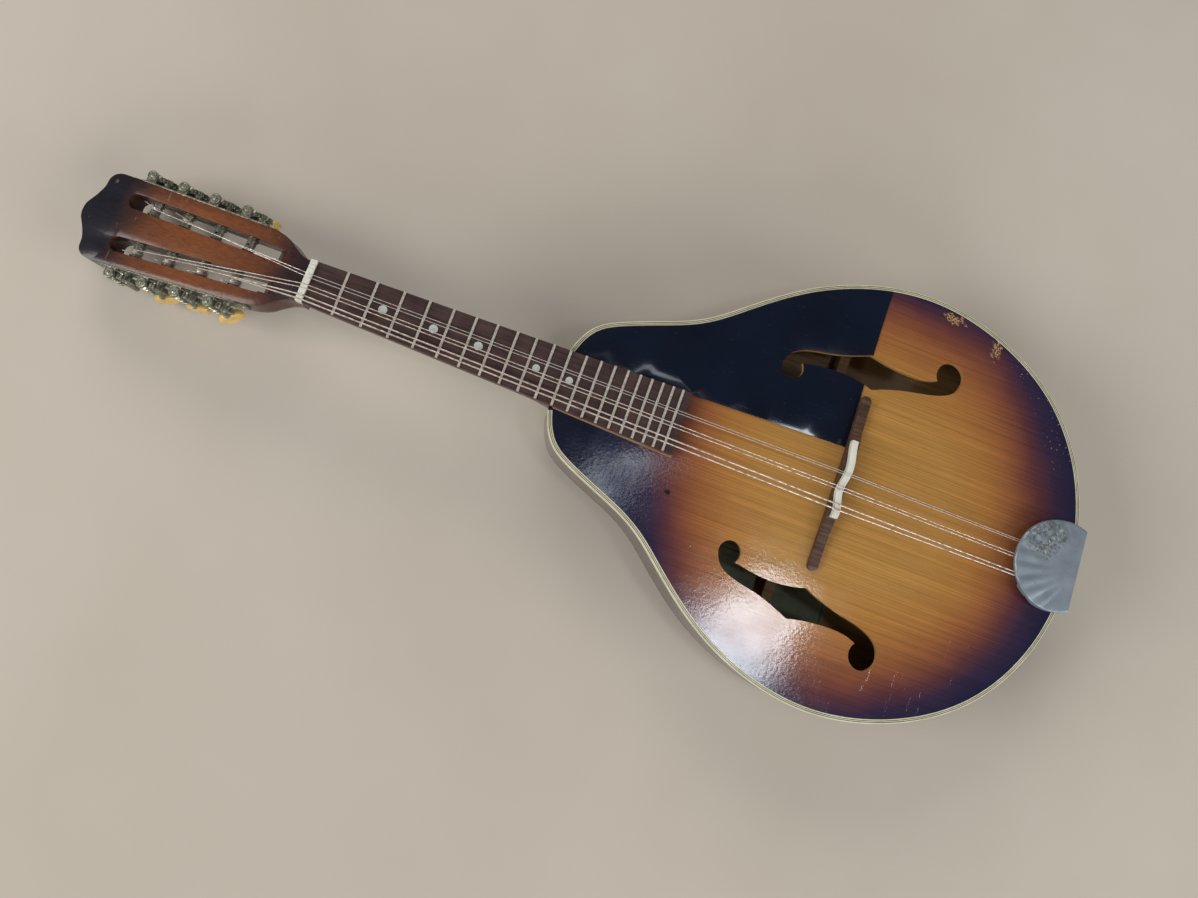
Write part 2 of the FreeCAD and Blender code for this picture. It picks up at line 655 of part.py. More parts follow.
def fret_crown(x, half_length):
    """The rounded bead of one fret."""
    half = FRET_CROWN_WIDTH / 2
    left, right = V(x - half, -half_length, 0), V(x + half, -half_length, 0)
    crown = arc(left, V(x, -half_length, FRET_CROWN_HEIGHT), right)
    face = Part.Face(Part.Wire([crown, line(right, left)]))
    return face.extrude(V(0, 2 * half_length, 0))


def make_nut():
    half = BOARD_HALF_WIDTH_NUT
    bottom = -BOARD_THICKNESS
    corners = ((0, bottom), (0, NUT_TOP_Z), (-NUT_LENGTH, NUT_BACK_Z), (-NUT_LENGTH, bottom))
    block = sheet([V(x, -half, z) for x, z in corners], V(0, 2 * half, 0))
    for y, radius in E_NOTCHES + [(string[2], string[1]) for string in STRINGS]:
        block = block.cut(nut_notch(y, radius + NOTCH_PLAY))
    save("nut", block)


def nut_notch(y, half):
    """Cutter for one notch: level towards the fingerboard, falling towards the headstock."""
    middle_x = -NUT_LENGTH / 2
    run = 5.0
    end_x, end_z = middle_x - run, NOTCH_Z - math.tan(math.radians(NOTCH_FALL)) * run
    corners = ((1, NOTCH_Z), (middle_x, NOTCH_Z), (end_x, end_z), (end_x, NOTCH_TOP_Z), (1, NOTCH_TOP_Z))
    return sheet([V(x, y - half, z) for x, z in corners], V(0, 2 * half, 0))


# Bridge

def saddle_plan(half_width):
    """Wavy plan of the saddle: its middle line steps to and fro to tune each pair."""
    right = [V(SADDLE_X + step + half_width, y, 0) for y, step in SADDLE_WAVE]
    left = [V(SADDLE_X + step - half_width, y, 0) for y, step in reversed(SADDLE_WAVE)]
    edges = [spline(right).toShape(), spline(left).toShape()]
    edges += [line(right[-1], left[0]), line(left[-1], right[0])]
    return Part.sortEdges(edges)[0]


def make_bridge(top):
    """Wooden base fitted to the top's arch, lower in its two wings, and the saddle let into it."""
    middle = BRIDGE_CENTRE_Y
    x = SADDLE_X - BRIDGE_HALF_WIDTH
    treble_wing = [V(x, middle + distance, z) for distance, z in BRIDGE_WING]
    bass_wing = [V(x, middle - distance, z) for distance, z in reversed(BRIDGE_WING)]
    feet = [V(x, middle + side * BRIDGE_HALF_LENGTH, BRIDGE_BOTTOM_Z) for side in (-1, 1)]
    base = sheet(feet + treble_wing + bass_wing, V(2 * BRIDGE_HALF_WIDTH, 0, 0))
    plan = prism(bridge_plan(), BRIDGE_BOTTOM_Z, SADDLE_TOP_Z)
    saddle = prism(saddle_plan(SADDLE_HALF_WIDTH), SADDLE_BOTTOM_Z, SADDLE_TOP_Z)
    over_top = arched_layer(top, 0, BAR_ROOM)
    save("bridge_base", base.common(plan).common(over_top).cut(saddle))
    save("bridge_saddle", saddle)


def bridge_plan():
    """Straight sides with round ends."""
    half = BRIDGE_HALF_WIDTH
    end = BRIDGE_HALF_LENGTH - half
    y0, y1 = BRIDGE_CENTRE_Y - end, BRIDGE_CENTRE_Y + end
    x0, x1 = SADDLE_X - half, SADDLE_X + half
    tips = V(SADDLE_X, y0 - half, 0), V(SADDLE_X, y1 + half, 0)
    corners = flat([(x1, y0), (x1, y1), (x0, y1), (x0, y0)])
    return [line(corners[0], corners[1]), arc(corners[1], tips[1], corners[2]),
            line(corners[2], corners[3]), arc(corners[3], tips[0], corners[0])]


# Tailpiece

def tail_placement():
    return FreeCAD.Placement(V(TAIL_X, TAIL_Y, 0), FreeCAD.Rotation(UP, TAIL_TURN))


def at_tail(shape):
    return placed(shape, tail_placement())


def drilled_for_tailpiece(shape):
    """The shape with the end pin's bore and the holes of the tailpiece screws."""
    length = 2 * END_PIN_SHANK_LENGTH
    bore = cylinder(END_PIN_SHANK_RADIUS, length, V(-0.75 * length, 0, END_PIN_Z), OUTWARD)
    for cutter in [bore] + [tail_screw(y, z) for y, z in SCREW_PLACES]:
        shape = shape.cut(at_tail(cutter))
    return shape


def tail_screw(y, z):
    start = V(BASE_THICKNESS, y, z)
    head = Part.makeCone(SCREW_HEAD_RADIUS, SCREW_HEAD_RADIUS * 0.55, SCREW_HEAD_HEIGHT, start, OUTWARD)
    return head.fuse(cylinder(SCREW_RADIUS, SCREW_LENGTH, start, -OUTWARD))


def string_hook(y):
    """A tab cut from the plate and bent back, with its tip leaning to the tail."""
    base_top = BASE_Z + BASE_THICKNESS
    return sheet([V(x, y - HOOK_WIDTH / 2, base_top + z) for x, z in HOOK_PROFILE], V(0, HOOK_WIDTH, 0))


def hook_places():
    """Sideways places of the hooks in the tailpiece frame, one for each string."""
    inverse = tail_placement().inverse()
    return [inverse.multVec(V(HOOK_X, y, 0)).y for y in [string[4] for string in STRINGS] + E_HOOKS_Y]


def make_tailpiece():
    base_top = BASE_Z + BASE_THICKNESS
    plate = cover_plan(COVER_SHEET + BASE_EDGE_GAP, BASE_THICKNESS, BASE_Z, base_top)
    half = BASE_HALF_WIDTH
    plate = plate.common(box(-BASE_LENGTH, BASE_THICKNESS, -half, half, BASE_Z, base_top))
    leg = box(0, BASE_THICKNESS, -LEG_HALF_WIDTH, LEG_HALF_WIDTH, LEG_BOTTOM_Z, base_top)
    base = plate.fuse([leg] + [string_hook(y) for y in hook_places()])
    screws = [tail_screw(y, z) for y, z in SCREW_PLACES]
    pin_hole = cylinder(END_PIN_NECK_RADIUS, 3 * BASE_THICKNESS, V(-BASE_THICKNESS, 0, END_PIN_Z), OUTWARD)
    base = base.cut(screws + [pin_hole])
    save("tailpiece_base", at_tail(base.removeSplitter()))
    save("tailpiece_screws", *[at_tail(screw) for screw in screws])
    save("tailpiece_cover", at_tail(cover_shell()))
    make_end_pin()


def cover_plan(inset, back, z0, z1):
    """Prism over the cover's round plan, moved inwards, with a straight back edge."""
    radius = COVER_RADIUS - inset
    centre_x = COVER_FRONT_X + COVER_RADIUS
    half = math.sqrt(radius ** 2 - (back - centre_x) ** 2)
    left, right = V(back, -half, 0), V(back, half, 0)
    return prism([arc(right, V(centre_x - radius, 0, 0), left), line(left, right)], z0, z1)


def cover_shell():
    """Thin pressed cover, open at the back, with lips under the base along its sides."""
    below = COVER_BOTTOM_Z - 1
    front, back = COVER_FRONT_X - 1, COVER_BACK_X + 1
    half, lip_half = COVER_RADIUS + 1, COVER_LIP_HALF_WIDTH
    outer = cover_plan(0, COVER_BACK_X, COVER_BOTTOM_Z, COVER_TOP_Z)
    inner = cover_plan(COVER_SHEET, back, BASE_Z - 0.1, COVER_TOP_Z - COVER_SHEET)
    lips_gap = box(front, back, -lip_half, lip_half, below, BASE_Z)
    string_opening = box(front, STRING_OPENING_END, -half, half, below, COVER_RIM_Z)
    under_rim = box(front, COVER_FRONT_X + COVER_RADIUS, -half, half, below, COVER_SIDE_Z)
    return outer.cut([inner, lips_gap, string_opening, under_rim])


def make_end_pin():
    shank = cylinder(END_PIN_SHANK_RADIUS, END_PIN_SHANK_LENGTH, V(0, 0, END_PIN_Z), -OUTWARD)
    head_x = BASE_THICKNESS + END_PIN_NECK_LENGTH
    neck = cylinder(END_PIN_NECK_RADIUS, head_x, V(0, 0, END_PIN_Z), OUTWARD)
    head = cylinder(END_PIN_HEAD_RADIUS, END_PIN_HEAD_LENGTH, V(head_x, 0, END_PIN_Z), OUTWARD)
    save("end_pin", at_tail(shank.fuse([neck, head])))


# Tuners

def post_s(number):
    return FIRST_POST_S + number * TUNER_PITCH


def worm_s(number):
    return post_s(number) + TOOTH_PITCH[0] + WORM_PITCH_RADIUS


def tooth_outline(turn):
    """Corners of the gear's face, turned about its axis."""
    corners = []
    for tooth in range(GEAR_TEETH):
        centre = (tooth + 0.5) * 2 * math.pi / GEAR_TEETH + turn
        for radius, thickness in (TOOTH_ROOT, TOOTH_PITCH, TOOTH_TIP):
            corners.append((radius, centre - thickness / 2 / radius))
        for radius, thickness in (TOOTH_TIP, TOOTH_PITCH, TOOTH_ROOT):
            corners.append((radius, centre + thickness / 2 / radius))
    return [(radius * math.cos(angle), -radius * math.sin(angle)) for radius, angle in corners]


def gear(s):
    """Worm gear on the post's outer end, its teeth slanted to match the worm."""
    lead_slope = MODULE / (2 * WORM_PITCH_RADIUS)
    half_twist = lead_slope * GEAR_FACE / 2 / TOOTH_PITCH[0]
    wires = []
    for side in (-1, 1):
        y = DRIVE_O + side * GEAR_FACE / 2
        points = [V(s + x, y, POST_H + z) for x, z in tooth_outline(side * half_twist)]
        wires.append(Part.makePolygon(points + [points[0]]))
    return Part.makeLoft(wires, True, True)


def worm_thread():
    """Single-start thread about the z axis, with a full tooth facing -x at z = 0."""
    pitch = math.pi * MODULE
    depth = WORM_PITCH_RADIUS - WORM_CORE_RADIUS + 0.1
    flank = math.tan(math.radians(PRESSURE_ANGLE))
    inner, inner_half = WORM_PITCH_RADIUS - depth, pitch / 4 + depth * flank
    outer, outer_half = WORM_PITCH_RADIUS + MODULE, pitch / 4 - MODULE * flank
    corners = ((inner, -inner_half), (outer, -outer_half), (outer, outer_half), (inner, inner_half))
    profile = [V(x, 0, z) for x, z in corners]
    wire = Part.makePolygon(profile + profile[:1])
    helix = Part.makeHelix(pitch, WORM_TURNS * pitch, WORM_PITCH_RADIUS)
    thread = Part.Wire(helix).makePipeShell([wire], True, True)
    thread.translate(V(0, 0, -WORM_TURNS / 2 * pitch))
    return thread


def worm_shaft(number, end_h):
    """Shaft with its worm, a domed head above the upper ear and a collar under the lower one."""
    s = worm_s(number)
    head_h = UPPER_EAR_H + EAR_PLAY
    collar_h = LOWER_EAR_H - EAR_THICKNESS - EAR_PLAY - SHAFT_COLLAR_HEIGHT
    shaft = cylinder(WORM_CORE_RADIUS, head_h - end_h, V(s, DRIVE_O, end_h))
    thread = worm_thread()
    thread.translate(V(s, DRIVE_O, POST_H))
    head = Part.makeCone(SHAFT_HEAD_RADIUS, SHAFT_HEAD_RADIUS * 0.6, SHAFT_HEAD_HEIGHT, V(s, DRIVE_O, head_h))
    collar = cylinder(SHAFT_HEAD_RADIUS, SHAFT_COLLAR_HEIGHT, V(s, DRIVE_O, collar_h))
    return shaft.fuse([thread, head, collar])


def string_post(number):
    """Post with its gear outside the plate and the screw that holds the gear."""
    s = post_s(number)
    inward, outward = V(0, -1, 0), V(0, 1, 0)
    outer_end, gear_end = DRIVE_O - GEAR_FACE / 2, DRIVE_O + GEAR_FACE / 2
    slot_middle = SLOT_V - HEAD_EDGE_V
    length = outer_end - slot_middle + SLOT_HALF_WIDTH + POST_TAIL
    post = cylinder(POST_RADIUS, length, V(s, outer_end, POST_H), inward)
    hole_start = V(s, slot_middle, POST_H - 2 * POST_RADIUS)
    post = post.cut(cylinder(STRING_HOLE_RADIUS, 4 * POST_RADIUS, hole_start))
    screw = cylinder(GEAR_SCREW_RADIUS, GEAR_FACE, V(s, gear_end, POST_H), inward)
    wheel = gear(s).cut(screw)
    head = Part.makeCone(GEAR_SCREW_HEAD_RADIUS, GEAR_SCREW_HEAD_RADIUS * 0.6, GEAR_SCREW_HEAD_HEIGHT,
                         V(s, gear_end, POST_H), outward)
    half, reach = SCREW_SLOT_WIDTH / 2, GEAR_SCREW_HEAD_RADIUS + 1
    slot_floor = gear_end + GEAR_SCREW_HEAD_HEIGHT / 2
    slot = box(s - reach, s + reach, slot_floor, gear_end + reach, POST_H - half, POST_H + half)
    return [post, wheel, screw.fuse(head).cut(slot)]


def knob(number, end_h, turn):
    """Flat oval key on the end of a worm shaft, turned about the shaft."""
    s = worm_s(number)
    oval = Part.Ellipse(V(0, 0, 0), KNOB_WIDTH / 2, KNOB_LENGTH / 2).toShape()
    key = Part.Face(Part.Wire(oval)).extrude(V(0, 0, KNOB_THICKNESS))
    key = key.makeFillet(KNOB_EDGE_RADIUS, [edge for edge in key.Edges if edge.Length > KNOB_WIDTH])
    key.rotate(V(0, 0, 0), V(1, 0, 0), -90)
    key.translate(V(s, DRIVE_O - KNOB_THICKNESS / 2, end_h))
    top_h = end_h + KNOB_LENGTH / 2
    stem = Part.makeCone(*STEM_RADII, STEM_HEIGHT, V(s, DRIVE_O, top_h - STEM_HEIGHT / 4))
    bore = cylinder(WORM_CORE_RADIUS, 2 * KNOB_LENGTH, V(s, DRIVE_O, top_h - KNOB_BORE_DEPTH))
    key = key.fuse(stem).cut(bore)
    key.rotate(V(s, DRIVE_O, 0), UP, turn)
    return key


def tuner_plate():
    """Strip along the headstock's edge with two folded ears for every worm shaft."""
    narrow = PLATE_END_HALF_HEIGHT
    strip = box(PLATE_START_S, PLATE_END_S, 0, PLATE_THICKNESS, POST_H - narrow, POST_H + narrow)
    tall_start, tall_end = post_s(0) - PLATE_SHOULDERS[0], worm_s(3) + PLATE_SHOULDERS[1]
    tall = box(tall_start, tall_end, 0, PLATE_THICKNESS, LOWER_EAR_H - EAR_THICKNESS, UPPER_EAR_H)
    plate = strip.fuse(tall)
    for number in range(4):
        s = worm_s(number)
        for top_h in (UPPER_EAR_H, LOWER_EAR_H):
            low_h = top_h - EAR_THICKNESS
            arm = box(s - EAR_RADIUS, s + EAR_RADIUS, 0, DRIVE_O, low_h, top_h)
            plate = plate.fuse([arm, cylinder(EAR_RADIUS, EAR_THICKNESS, V(s, DRIVE_O, low_h))])
        shaft_bore = cylinder(WORM_CORE_RADIUS + RUNNING_CLEARANCE, HEAD_THICKNESS * 2, V(s, DRIVE_O, -25))
        plate = plate.cut([shaft_bore, post_hole(number)])
    return plate.removeSplitter()


def plate_screw_places():
    """One screw near each end of the plate, and one between every two tuners."""
    between = [(worm_s(number) + post_s(number + 1)) / 2 + 1.0 for number in range(3)]
    return [PLATE_START_S + PLATE_SCREW_INSET, PLATE_END_S - PLATE_SCREW_INSET] + between


def plate_screw(s):
    start = V(s, PLATE_THICKNESS, POST_H)
    head = Part.makeCone(*PLATE_SCREW_HEAD, start, V(0, 1, 0))
    return head.fuse(cylinder(PLATE_SCREW_RADIUS, PLATE_SCREW_LENGTH, start, V(0, -1, 0)))


def make_tuners():
    """The bass side is built in its own frame, the treble side is its mirror image."""
    screws = [plate_screw(s) for s in plate_screw_places()]
    plate = tuner_plate()
    for screw in screws:
        plate = plate.cut(screw)
    all_screws = []
    for side, name, turns in ((-1, "bass", KNOB_TURNS_BASS), (1, "treble", KNOB_TURNS_TREBLE)):
        save("tuner_plate_" + name, on_side(plate, side))
        all_screws += [on_side(screw, side) for screw in screws]
        for number in range(4):
            label = name + "_" + str(number + 1)
            has_knob = number < len(turns)
            end_h = knob_h() + KNOB_LENGTH / 2 - KNOB_BORE_DEPTH if has_knob else BARE_SHAFT_END_H
            save("worm_shaft_" + label, on_side(worm_shaft(number, end_h), side))
            save("string_post_" + label, *[on_side(piece, side) for piece in string_post(number)])
            if has_knob:
                save("tuner_knob_" + label, on_side(knob(number, knob_h(), turns[number]), side))
    save("tuner_plate_screws", *all_screws)


def knob_h():
    """Height of the knobs' middles: the tip-most knob just reaches the resting surface."""
    rest_h = (REST_Z - HEAD_START_Z + worm_s(3) * math.sin(TILT)) / math.cos(TILT)
    return rest_h + KNOB_LENGTH / 2 + KNOB_TILT_ALLOWANCE


def on_side(shape, side):
    moved = placed(shape, bass_side_placement())
    return mirrored(moved) if side > 0 else moved


# Strings

def post_top(side, number, radius):
    """Where a string meets the top of its post, in the middle of the slot."""
    local = V(post_s(number), SLOT_V - HEAD_EDGE_V, POST_H + POST_RADIUS + radius + WRAP_GAP)
    point = bass_side_placement().multVec(local)
    return V(point.x, -point.y, point.z) if side > 0 else point


def string_turns(side, number, radius):
    """The turns of a string around its post, as rings that lie side by side."""
    pitch = 2 * radius + WRAP_GAP
    turns = []
    for turn in range(WRAP_TURNS):
        place = V(post_s(number), SLOT_V - HEAD_EDGE_V + turn * pitch, POST_H)
        ring = Part.makeTorus(POST_RADIUS + radius + WRAP_GAP, radius, place, V(0, 1, 0))
        turns.append(on_side(ring, side))
    return turns


def make_strings():
    for name, radius, nut_y, saddle_y, hook_y, side, number in STRINGS:
        hook = V(HOOK_X, hook_y, HOOK_Z)
        saddle = V(SADDLE_X, saddle_y, SADDLE_TOP_Z + radius + STRING_LIFT)
        nut = V(-NUT_LENGTH / 2, nut_y, NOTCH_Z + radius + STRING_LIFT)
        run = tube([hook, saddle, nut, post_top(side, number, radius)], radius, BEND_RADIUS)
        save("string_" + name, run, *string_turns(side, number, radius))


os.makedirs("parts", exist_ok=True)
top_surface = arched_surface(EDGE_Z, TOP_ARCH)
back_surface = arched_surface(back_rim_z(), REST_Z - back_rim_z())
make_body(top_surface, back_surface)
make_neck(top_surface)
make_fingerboard()
make_nut()
make_bridge(top_surface)
make_tailpiece()
make_tuners()
make_strings()
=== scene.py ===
"""An old eight-string mandolin with a sunburst top, lying on its back on a pale floor."""
import json
import math
import bmesh
import bpy
from mathutils import Euler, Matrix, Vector


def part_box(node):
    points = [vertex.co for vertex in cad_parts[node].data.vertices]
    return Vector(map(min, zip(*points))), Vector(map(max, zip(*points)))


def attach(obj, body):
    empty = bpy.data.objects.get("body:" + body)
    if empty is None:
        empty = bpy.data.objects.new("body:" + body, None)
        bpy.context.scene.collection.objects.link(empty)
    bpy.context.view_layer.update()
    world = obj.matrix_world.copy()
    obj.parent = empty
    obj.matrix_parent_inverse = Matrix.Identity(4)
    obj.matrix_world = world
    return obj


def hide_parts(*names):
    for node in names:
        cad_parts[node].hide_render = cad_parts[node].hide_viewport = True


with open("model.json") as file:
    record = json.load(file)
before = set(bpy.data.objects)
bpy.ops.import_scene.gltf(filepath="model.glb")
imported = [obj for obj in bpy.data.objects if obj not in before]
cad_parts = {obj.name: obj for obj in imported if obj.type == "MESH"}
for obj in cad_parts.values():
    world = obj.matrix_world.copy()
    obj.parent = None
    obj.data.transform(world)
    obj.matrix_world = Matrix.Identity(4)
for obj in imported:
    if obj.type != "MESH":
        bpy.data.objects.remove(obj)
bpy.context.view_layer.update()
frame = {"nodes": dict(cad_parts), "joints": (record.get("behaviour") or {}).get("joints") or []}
nodes = frame["nodes"]
joints = {joint["name"]: joint for joint in frame["joints"]}

MM = 0.001
# The nut's front edge, level with the playing surface. Places on the instrument are millimetres
# from here: x towards the tail, y towards the treble side, z up.
NUT = Vector((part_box("nut")[1].x, 0.0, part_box("fingerboard")[1].z))
SIDES = ("bass", "treble")
UP = Vector((0, 0, 1))


def at(x, y, z):
    """A place on the instrument, given in millimetres from the nut."""
    return NUT + Vector((x, y, z)) * MM


def srgb(red, green, blue):
    """Linear colour from display values of 0 to 255."""
    shares = [value / 255 for value in (red, green, blue)]
    linear = [((share + 0.055) / 1.055) ** 2.4 if share > 0.04 else share / 12.92 for share in shares]
    return (*linear, 1.0)


# ---------------------------------------------------------------- materials

class Finish:
    """A node-built material. Each method adds a node and gives its output."""

    def __init__(self, name, surface):
        self.material = bpy.data.materials.new(name)
        self.material.use_nodes = True
        self.tree = self.material.node_tree
        self.shader = self.tree.nodes["Principled BSDF"]
        self.set(surface)
        position = self.add("ShaderNodeTexCoord", {}).outputs["Object"]
        inputs = {"Vector": position, "Location": -NUT / MM, "Scale": (1 / MM,) * 3}
        self.place = self.add("ShaderNodeMapping", inputs).outputs[0]

    def plug(self, socket, value):
        if isinstance(value, bpy.types.NodeSocket):
            self.tree.links.new(value, socket)
        else:
            socket.default_value = value

    def set(self, surface):
        for name, value in surface.items():
            self.plug(self.shader.inputs[name], value)

    def add(self, kind, inputs, **settings):
        node = self.tree.nodes.new(kind)
        for name, value in settings.items():
            setattr(node, name, value)
        for name, value in inputs.items():
            self.plug(node.inputs[name], value)
        return node

    def vector(self, operation, first, second):
        node = self.add("ShaderNodeVectorMath", {0: first, 1: second}, operation=operation)
        single = operation in ("LENGTH", "DOT_PRODUCT")
        return node.outputs["Value"] if single else node.outputs[0]

    def drawn(self, x, y, z):
        """The place with each axis scaled, to draw a texture out along one of them."""
        return self.vector("MULTIPLY", self.place, (x, y, z))

    def noise(self, scale, detail=3.0, vector=None, distortion=0.0):
        inputs = {"Vector": vector or self.place, "Scale": scale, "Detail": detail, "Distortion": distortion}
        return self.add("ShaderNodeTexNoise", inputs).outputs[0]

    def cells(self, scale):
        inputs = {"Vector": self.place, "Scale": scale}
        return self.add("ShaderNodeTexVoronoi", inputs).outputs["Distance"]

    def maths(self, operation, first, second=0.0):
        return self.add("ShaderNodeMath", {0: first, 1: second}, operation=operation).outputs[0]

    def remap(self, value, low, high, to_low=0.0, to_high=1.0):
        inputs = {"Value": value, "From Min": low, "From Max": high, "To Min": to_low, "To Max": to_high}
        return self.add("ShaderNodeMapRange", inputs).outputs[0]

    def ramp(self, value, *stops):
        node = self.add("ShaderNodeValToRGB", {"Fac": value})
        elements = node.color_ramp.elements
        while len(elements) < len(stops):
            elements.new(0.5)
        for element, (position, colour) in zip(elements, stops):
            element.position = position
            element.color = colour
        return node.outputs[0]

    def mix(self, factor, first, second, blend="MIX"):
        node = self.add("ShaderNodeMix", {}, data_type="RGBA", blend_type=blend)
        self.plug(node.inputs[0], factor)
        self.plug(node.inputs[6], first)
        self.plug(node.inputs[7], second)
        return node.outputs[2]

    def grey(self, value, low, high):
        """A grey that runs from low to high as the value goes from 0 to 1."""
        return self.ramp(value, (0.0, (low, low, low, 1)), (1.0, (high, high, high, 1)))

    def facing(self, direction):
        """How squarely the surface faces a direction, 1 when it does."""
        normal = self.add("ShaderNodeNewGeometry", {}).outputs["True Normal"]
        return self.vector("DOT_PRODUCT", normal, direction)

    def patch(self, centre, reach, ragged=0.35, scale=0.25):
        """1 inside a ragged patch, 0 outside it."""
        offset = self.vector("SUBTRACT", self.place, centre)
        shrunk = self.vector("DIVIDE", offset, reach)
        distance = self.vector("LENGTH", shrunk, (0, 0, 0))
        torn = self.maths("MULTIPLY_ADD", self.noise(scale, 5.0), ragged * 4)
        torn.node.inputs[2].default_value = -ragged * 2
        return self.remap(self.maths("ADD", distance, torn), 1.0, 0.85)

    def bump(self, *layers):
        """Stacked bumps, each a height output and its depth in millimetres."""
        normal = None
        for height, depth in layers:
            node = self.add("ShaderNodeBump", {"Height": height, "Distance": depth * MM})
            if normal:
                self.tree.links.new(normal, node.inputs["Normal"])
            normal = node.outputs[0]
        return normal


BURST_CENTRE = (368.0, 0.0, 0.0)
HEAD_TILT = math.asin(-joints["key_turn_bass_1"]["axis"][0])
HEAD_START = (-4.0, 0.0, -3.0)
TO_TIP = (-math.cos(HEAD_TILT), 0.0, -math.sin(HEAD_TILT))
FACE_NORMAL = (-math.sin(HEAD_TILT), 0.0, math.cos(HEAD_TILT))

RAW_SPRUCE = srgb(196, 156, 104)
AMBER_WOOD = srgb(150, 96, 48)


def sunburst_top():
    """Clear gloss over spruce, shaded from amber through red-brown to blue-black, with old damage."""
    look = Finish("sunburst_top", {"Specular IOR Level": 0.04, "Coat Weight": 1.0})
    flat = look.vector("MULTIPLY", look.vector("SUBTRACT", look.place, BURST_CENTRE), (1, 1, 0))
    ring = look.vector("LENGTH", flat, (0, 0, 0))
    cloud = look.maths("MULTIPLY", look.maths("SUBTRACT", look.noise(0.011, 3.0), 0.5), 30.0)
    share = look.remap(look.maths("ADD", ring, cloud), 60, 180)
    colour = look.ramp(share, (0.0, srgb(190, 140, 72)), (0.24, srgb(180, 124, 62)), (0.4, srgb(158, 98, 56)),
                       (0.5, srgb(130, 74, 54)), (0.58, srgb(96, 52, 56)), (0.67, srgb(54, 38, 64)),
                       (0.78, srgb(26, 28, 62)), (1.0, srgb(16, 20, 44)))
    lines = look.noise(1.0, 6.0, look.drawn(0.012, 1.9, 0.1), 0.15)
    bands = look.noise(1.0, 3.0, look.drawn(0.004, 0.22, 0.02))
    pores = look.remap(look.noise(1.0, 2.0, look.drawn(0.12, 3.4, 0.3)), 0.64, 0.72)
    colour = look.mix(1.0, colour, look.grey(look.remap(lines, 0.36, 0.64), 0.74, 1.08), "MULTIPLY")
    colour = look.mix(1.0, colour, look.grey(look.remap(bands, 0.3, 0.7), 0.94, 1.05), "MULTIPLY")
    colour = look.mix(look.maths("MULTIPLY", pores, 0.3), colour, srgb(70, 38, 26))
    chips = look.patch((397, 134, -8), (7, 3.8, 6), 0.75, 0.45)
    chips = look.maths("MAXIMUM", chips, look.patch((430, 124.5, -8), (3.8, 6.5, 6), 0.8, 0.45))
    chips = look.maths("MULTIPLY", chips, look.remap(look.noise(0.9, 5.0), 0.46, 0.5))
    edge_zone = look.remap(ring, 133, 142)
    tail_zone = look.patch((472, 100, -8), (50, 42, 30), 0.2, 0.05)
    flecks = look.remap(look.noise(0.55, 4.0), 0.66, 0.7)
    scuffs = look.maths("MULTIPLY", flecks, look.maths("MULTIPLY", edge_zone, tail_zone))
    bare = look.maths("MAXIMUM", chips, scuffs)
    specks = look.remap(look.cells(0.11), 0.045, 0.02)
    colour = look.mix(look.maths("MULTIPLY", specks, 0.5), colour, srgb(30, 22, 24))
    dirt = look.patch((252.5, -43, -6), (2.4, 1.6, 5), 0.3, 1.0)
    colour = look.mix(dirt, colour, srgb(20, 14, 16))
    colour = look.mix(look.maths("MULTIPLY", bare, 0.85), colour, RAW_SPRUCE)
    inside = look.remap(look.facing((0, 0, 1)), 0.3, -0.3)
    edge = look.remap(look.maths("ABSOLUTE", look.facing((0, 0, 1))), 0.6, 0.4)
    colour = look.mix(edge, colour, AMBER_WOOD)
    colour = look.mix(inside, colour, RAW_SPRUCE)
    peel = look.noise(0.45, 4.0)
    rough = look.maths("ADD", look.remap(look.noise(0.06, 5.0), 0.3, 0.7, 0.34, 0.5),
                       look.maths("MULTIPLY", bare, 0.3))
    relief = look.bump((lines, 0.012), (peel, 0.03), (bare, -0.25))
    scratches = look.remap(look.noise(1.0, 1.0, look.drawn(0.5, 0.03, 0.2)), 0.72, 0.74)
    coat_relief = look.bump((peel, 0.035), (look.noise(1.6, 3.0), 0.006), (scratches, -0.02))
    coat_rough = look.remap(look.noise(0.05, 5.0), 0.3, 0.7, 0.06, 0.14)
    look.set({"Base Color": colour, "Roughness": rough, "Normal": relief, "Coat Normal": coat_relief,
              "Coat Roughness": coat_rough})
    return look.material


def dark_lacquer():
    """Gloss brown-black lacquer on the ribs and back, raw wood on the inside."""
    look = Finish("dark_lacquer", {"Specular IOR Level": 0.25, "Coat Weight": 0.9, "Coat Roughness": 0.12})
    grain = look.noise(1.0, 4.0, look.drawn(0.02, 0.6, 0.5), 0.4)
    figure = look.noise(0.03, 4.0, look.drawn(1.0, 1.0, 0.3))
    colour = look.ramp(look.remap(grain, 0.3, 0.7), (0.0, srgb(40, 24, 20)), (1.0, srgb(72, 42, 32)))
    colour = look.mix(1.0, colour, look.grey(look.remap(figure, 0.3, 0.7), 0.8, 1.25), "MULTIPLY")
    worn = look.remap(look.noise(0.18, 6.0), 0.7, 0.76)
    colour = look.mix(look.maths("MULTIPLY", worn, 0.4), colour, srgb(110, 78, 56))
    inner = look.remap(look.facing((0, 0, 1)), 0.4, 0.6)
    raw = look.ramp(look.remap(grain, 0.3, 0.7), (0.0, srgb(140, 106, 66)), (1.0, srgb(176, 138, 92)))
    low = look.remap(look.vector("DOT_PRODUCT", look.place, (0, 0, 1)), -52, -53)
    inner = look.maths("MULTIPLY", inner, low)
    colour = look.mix(inner, colour, raw)
    rough = look.remap(look.noise(0.09, 5.0), 0.3, 0.7, 0.3, 0.48)
    relief = look.bump((grain, 0.02), (look.noise(0.35, 3.0), 0.04))
    look.set({"Base Color": colour, "Roughness": rough, "Normal": relief, "Coat Normal": relief})
    return look.material


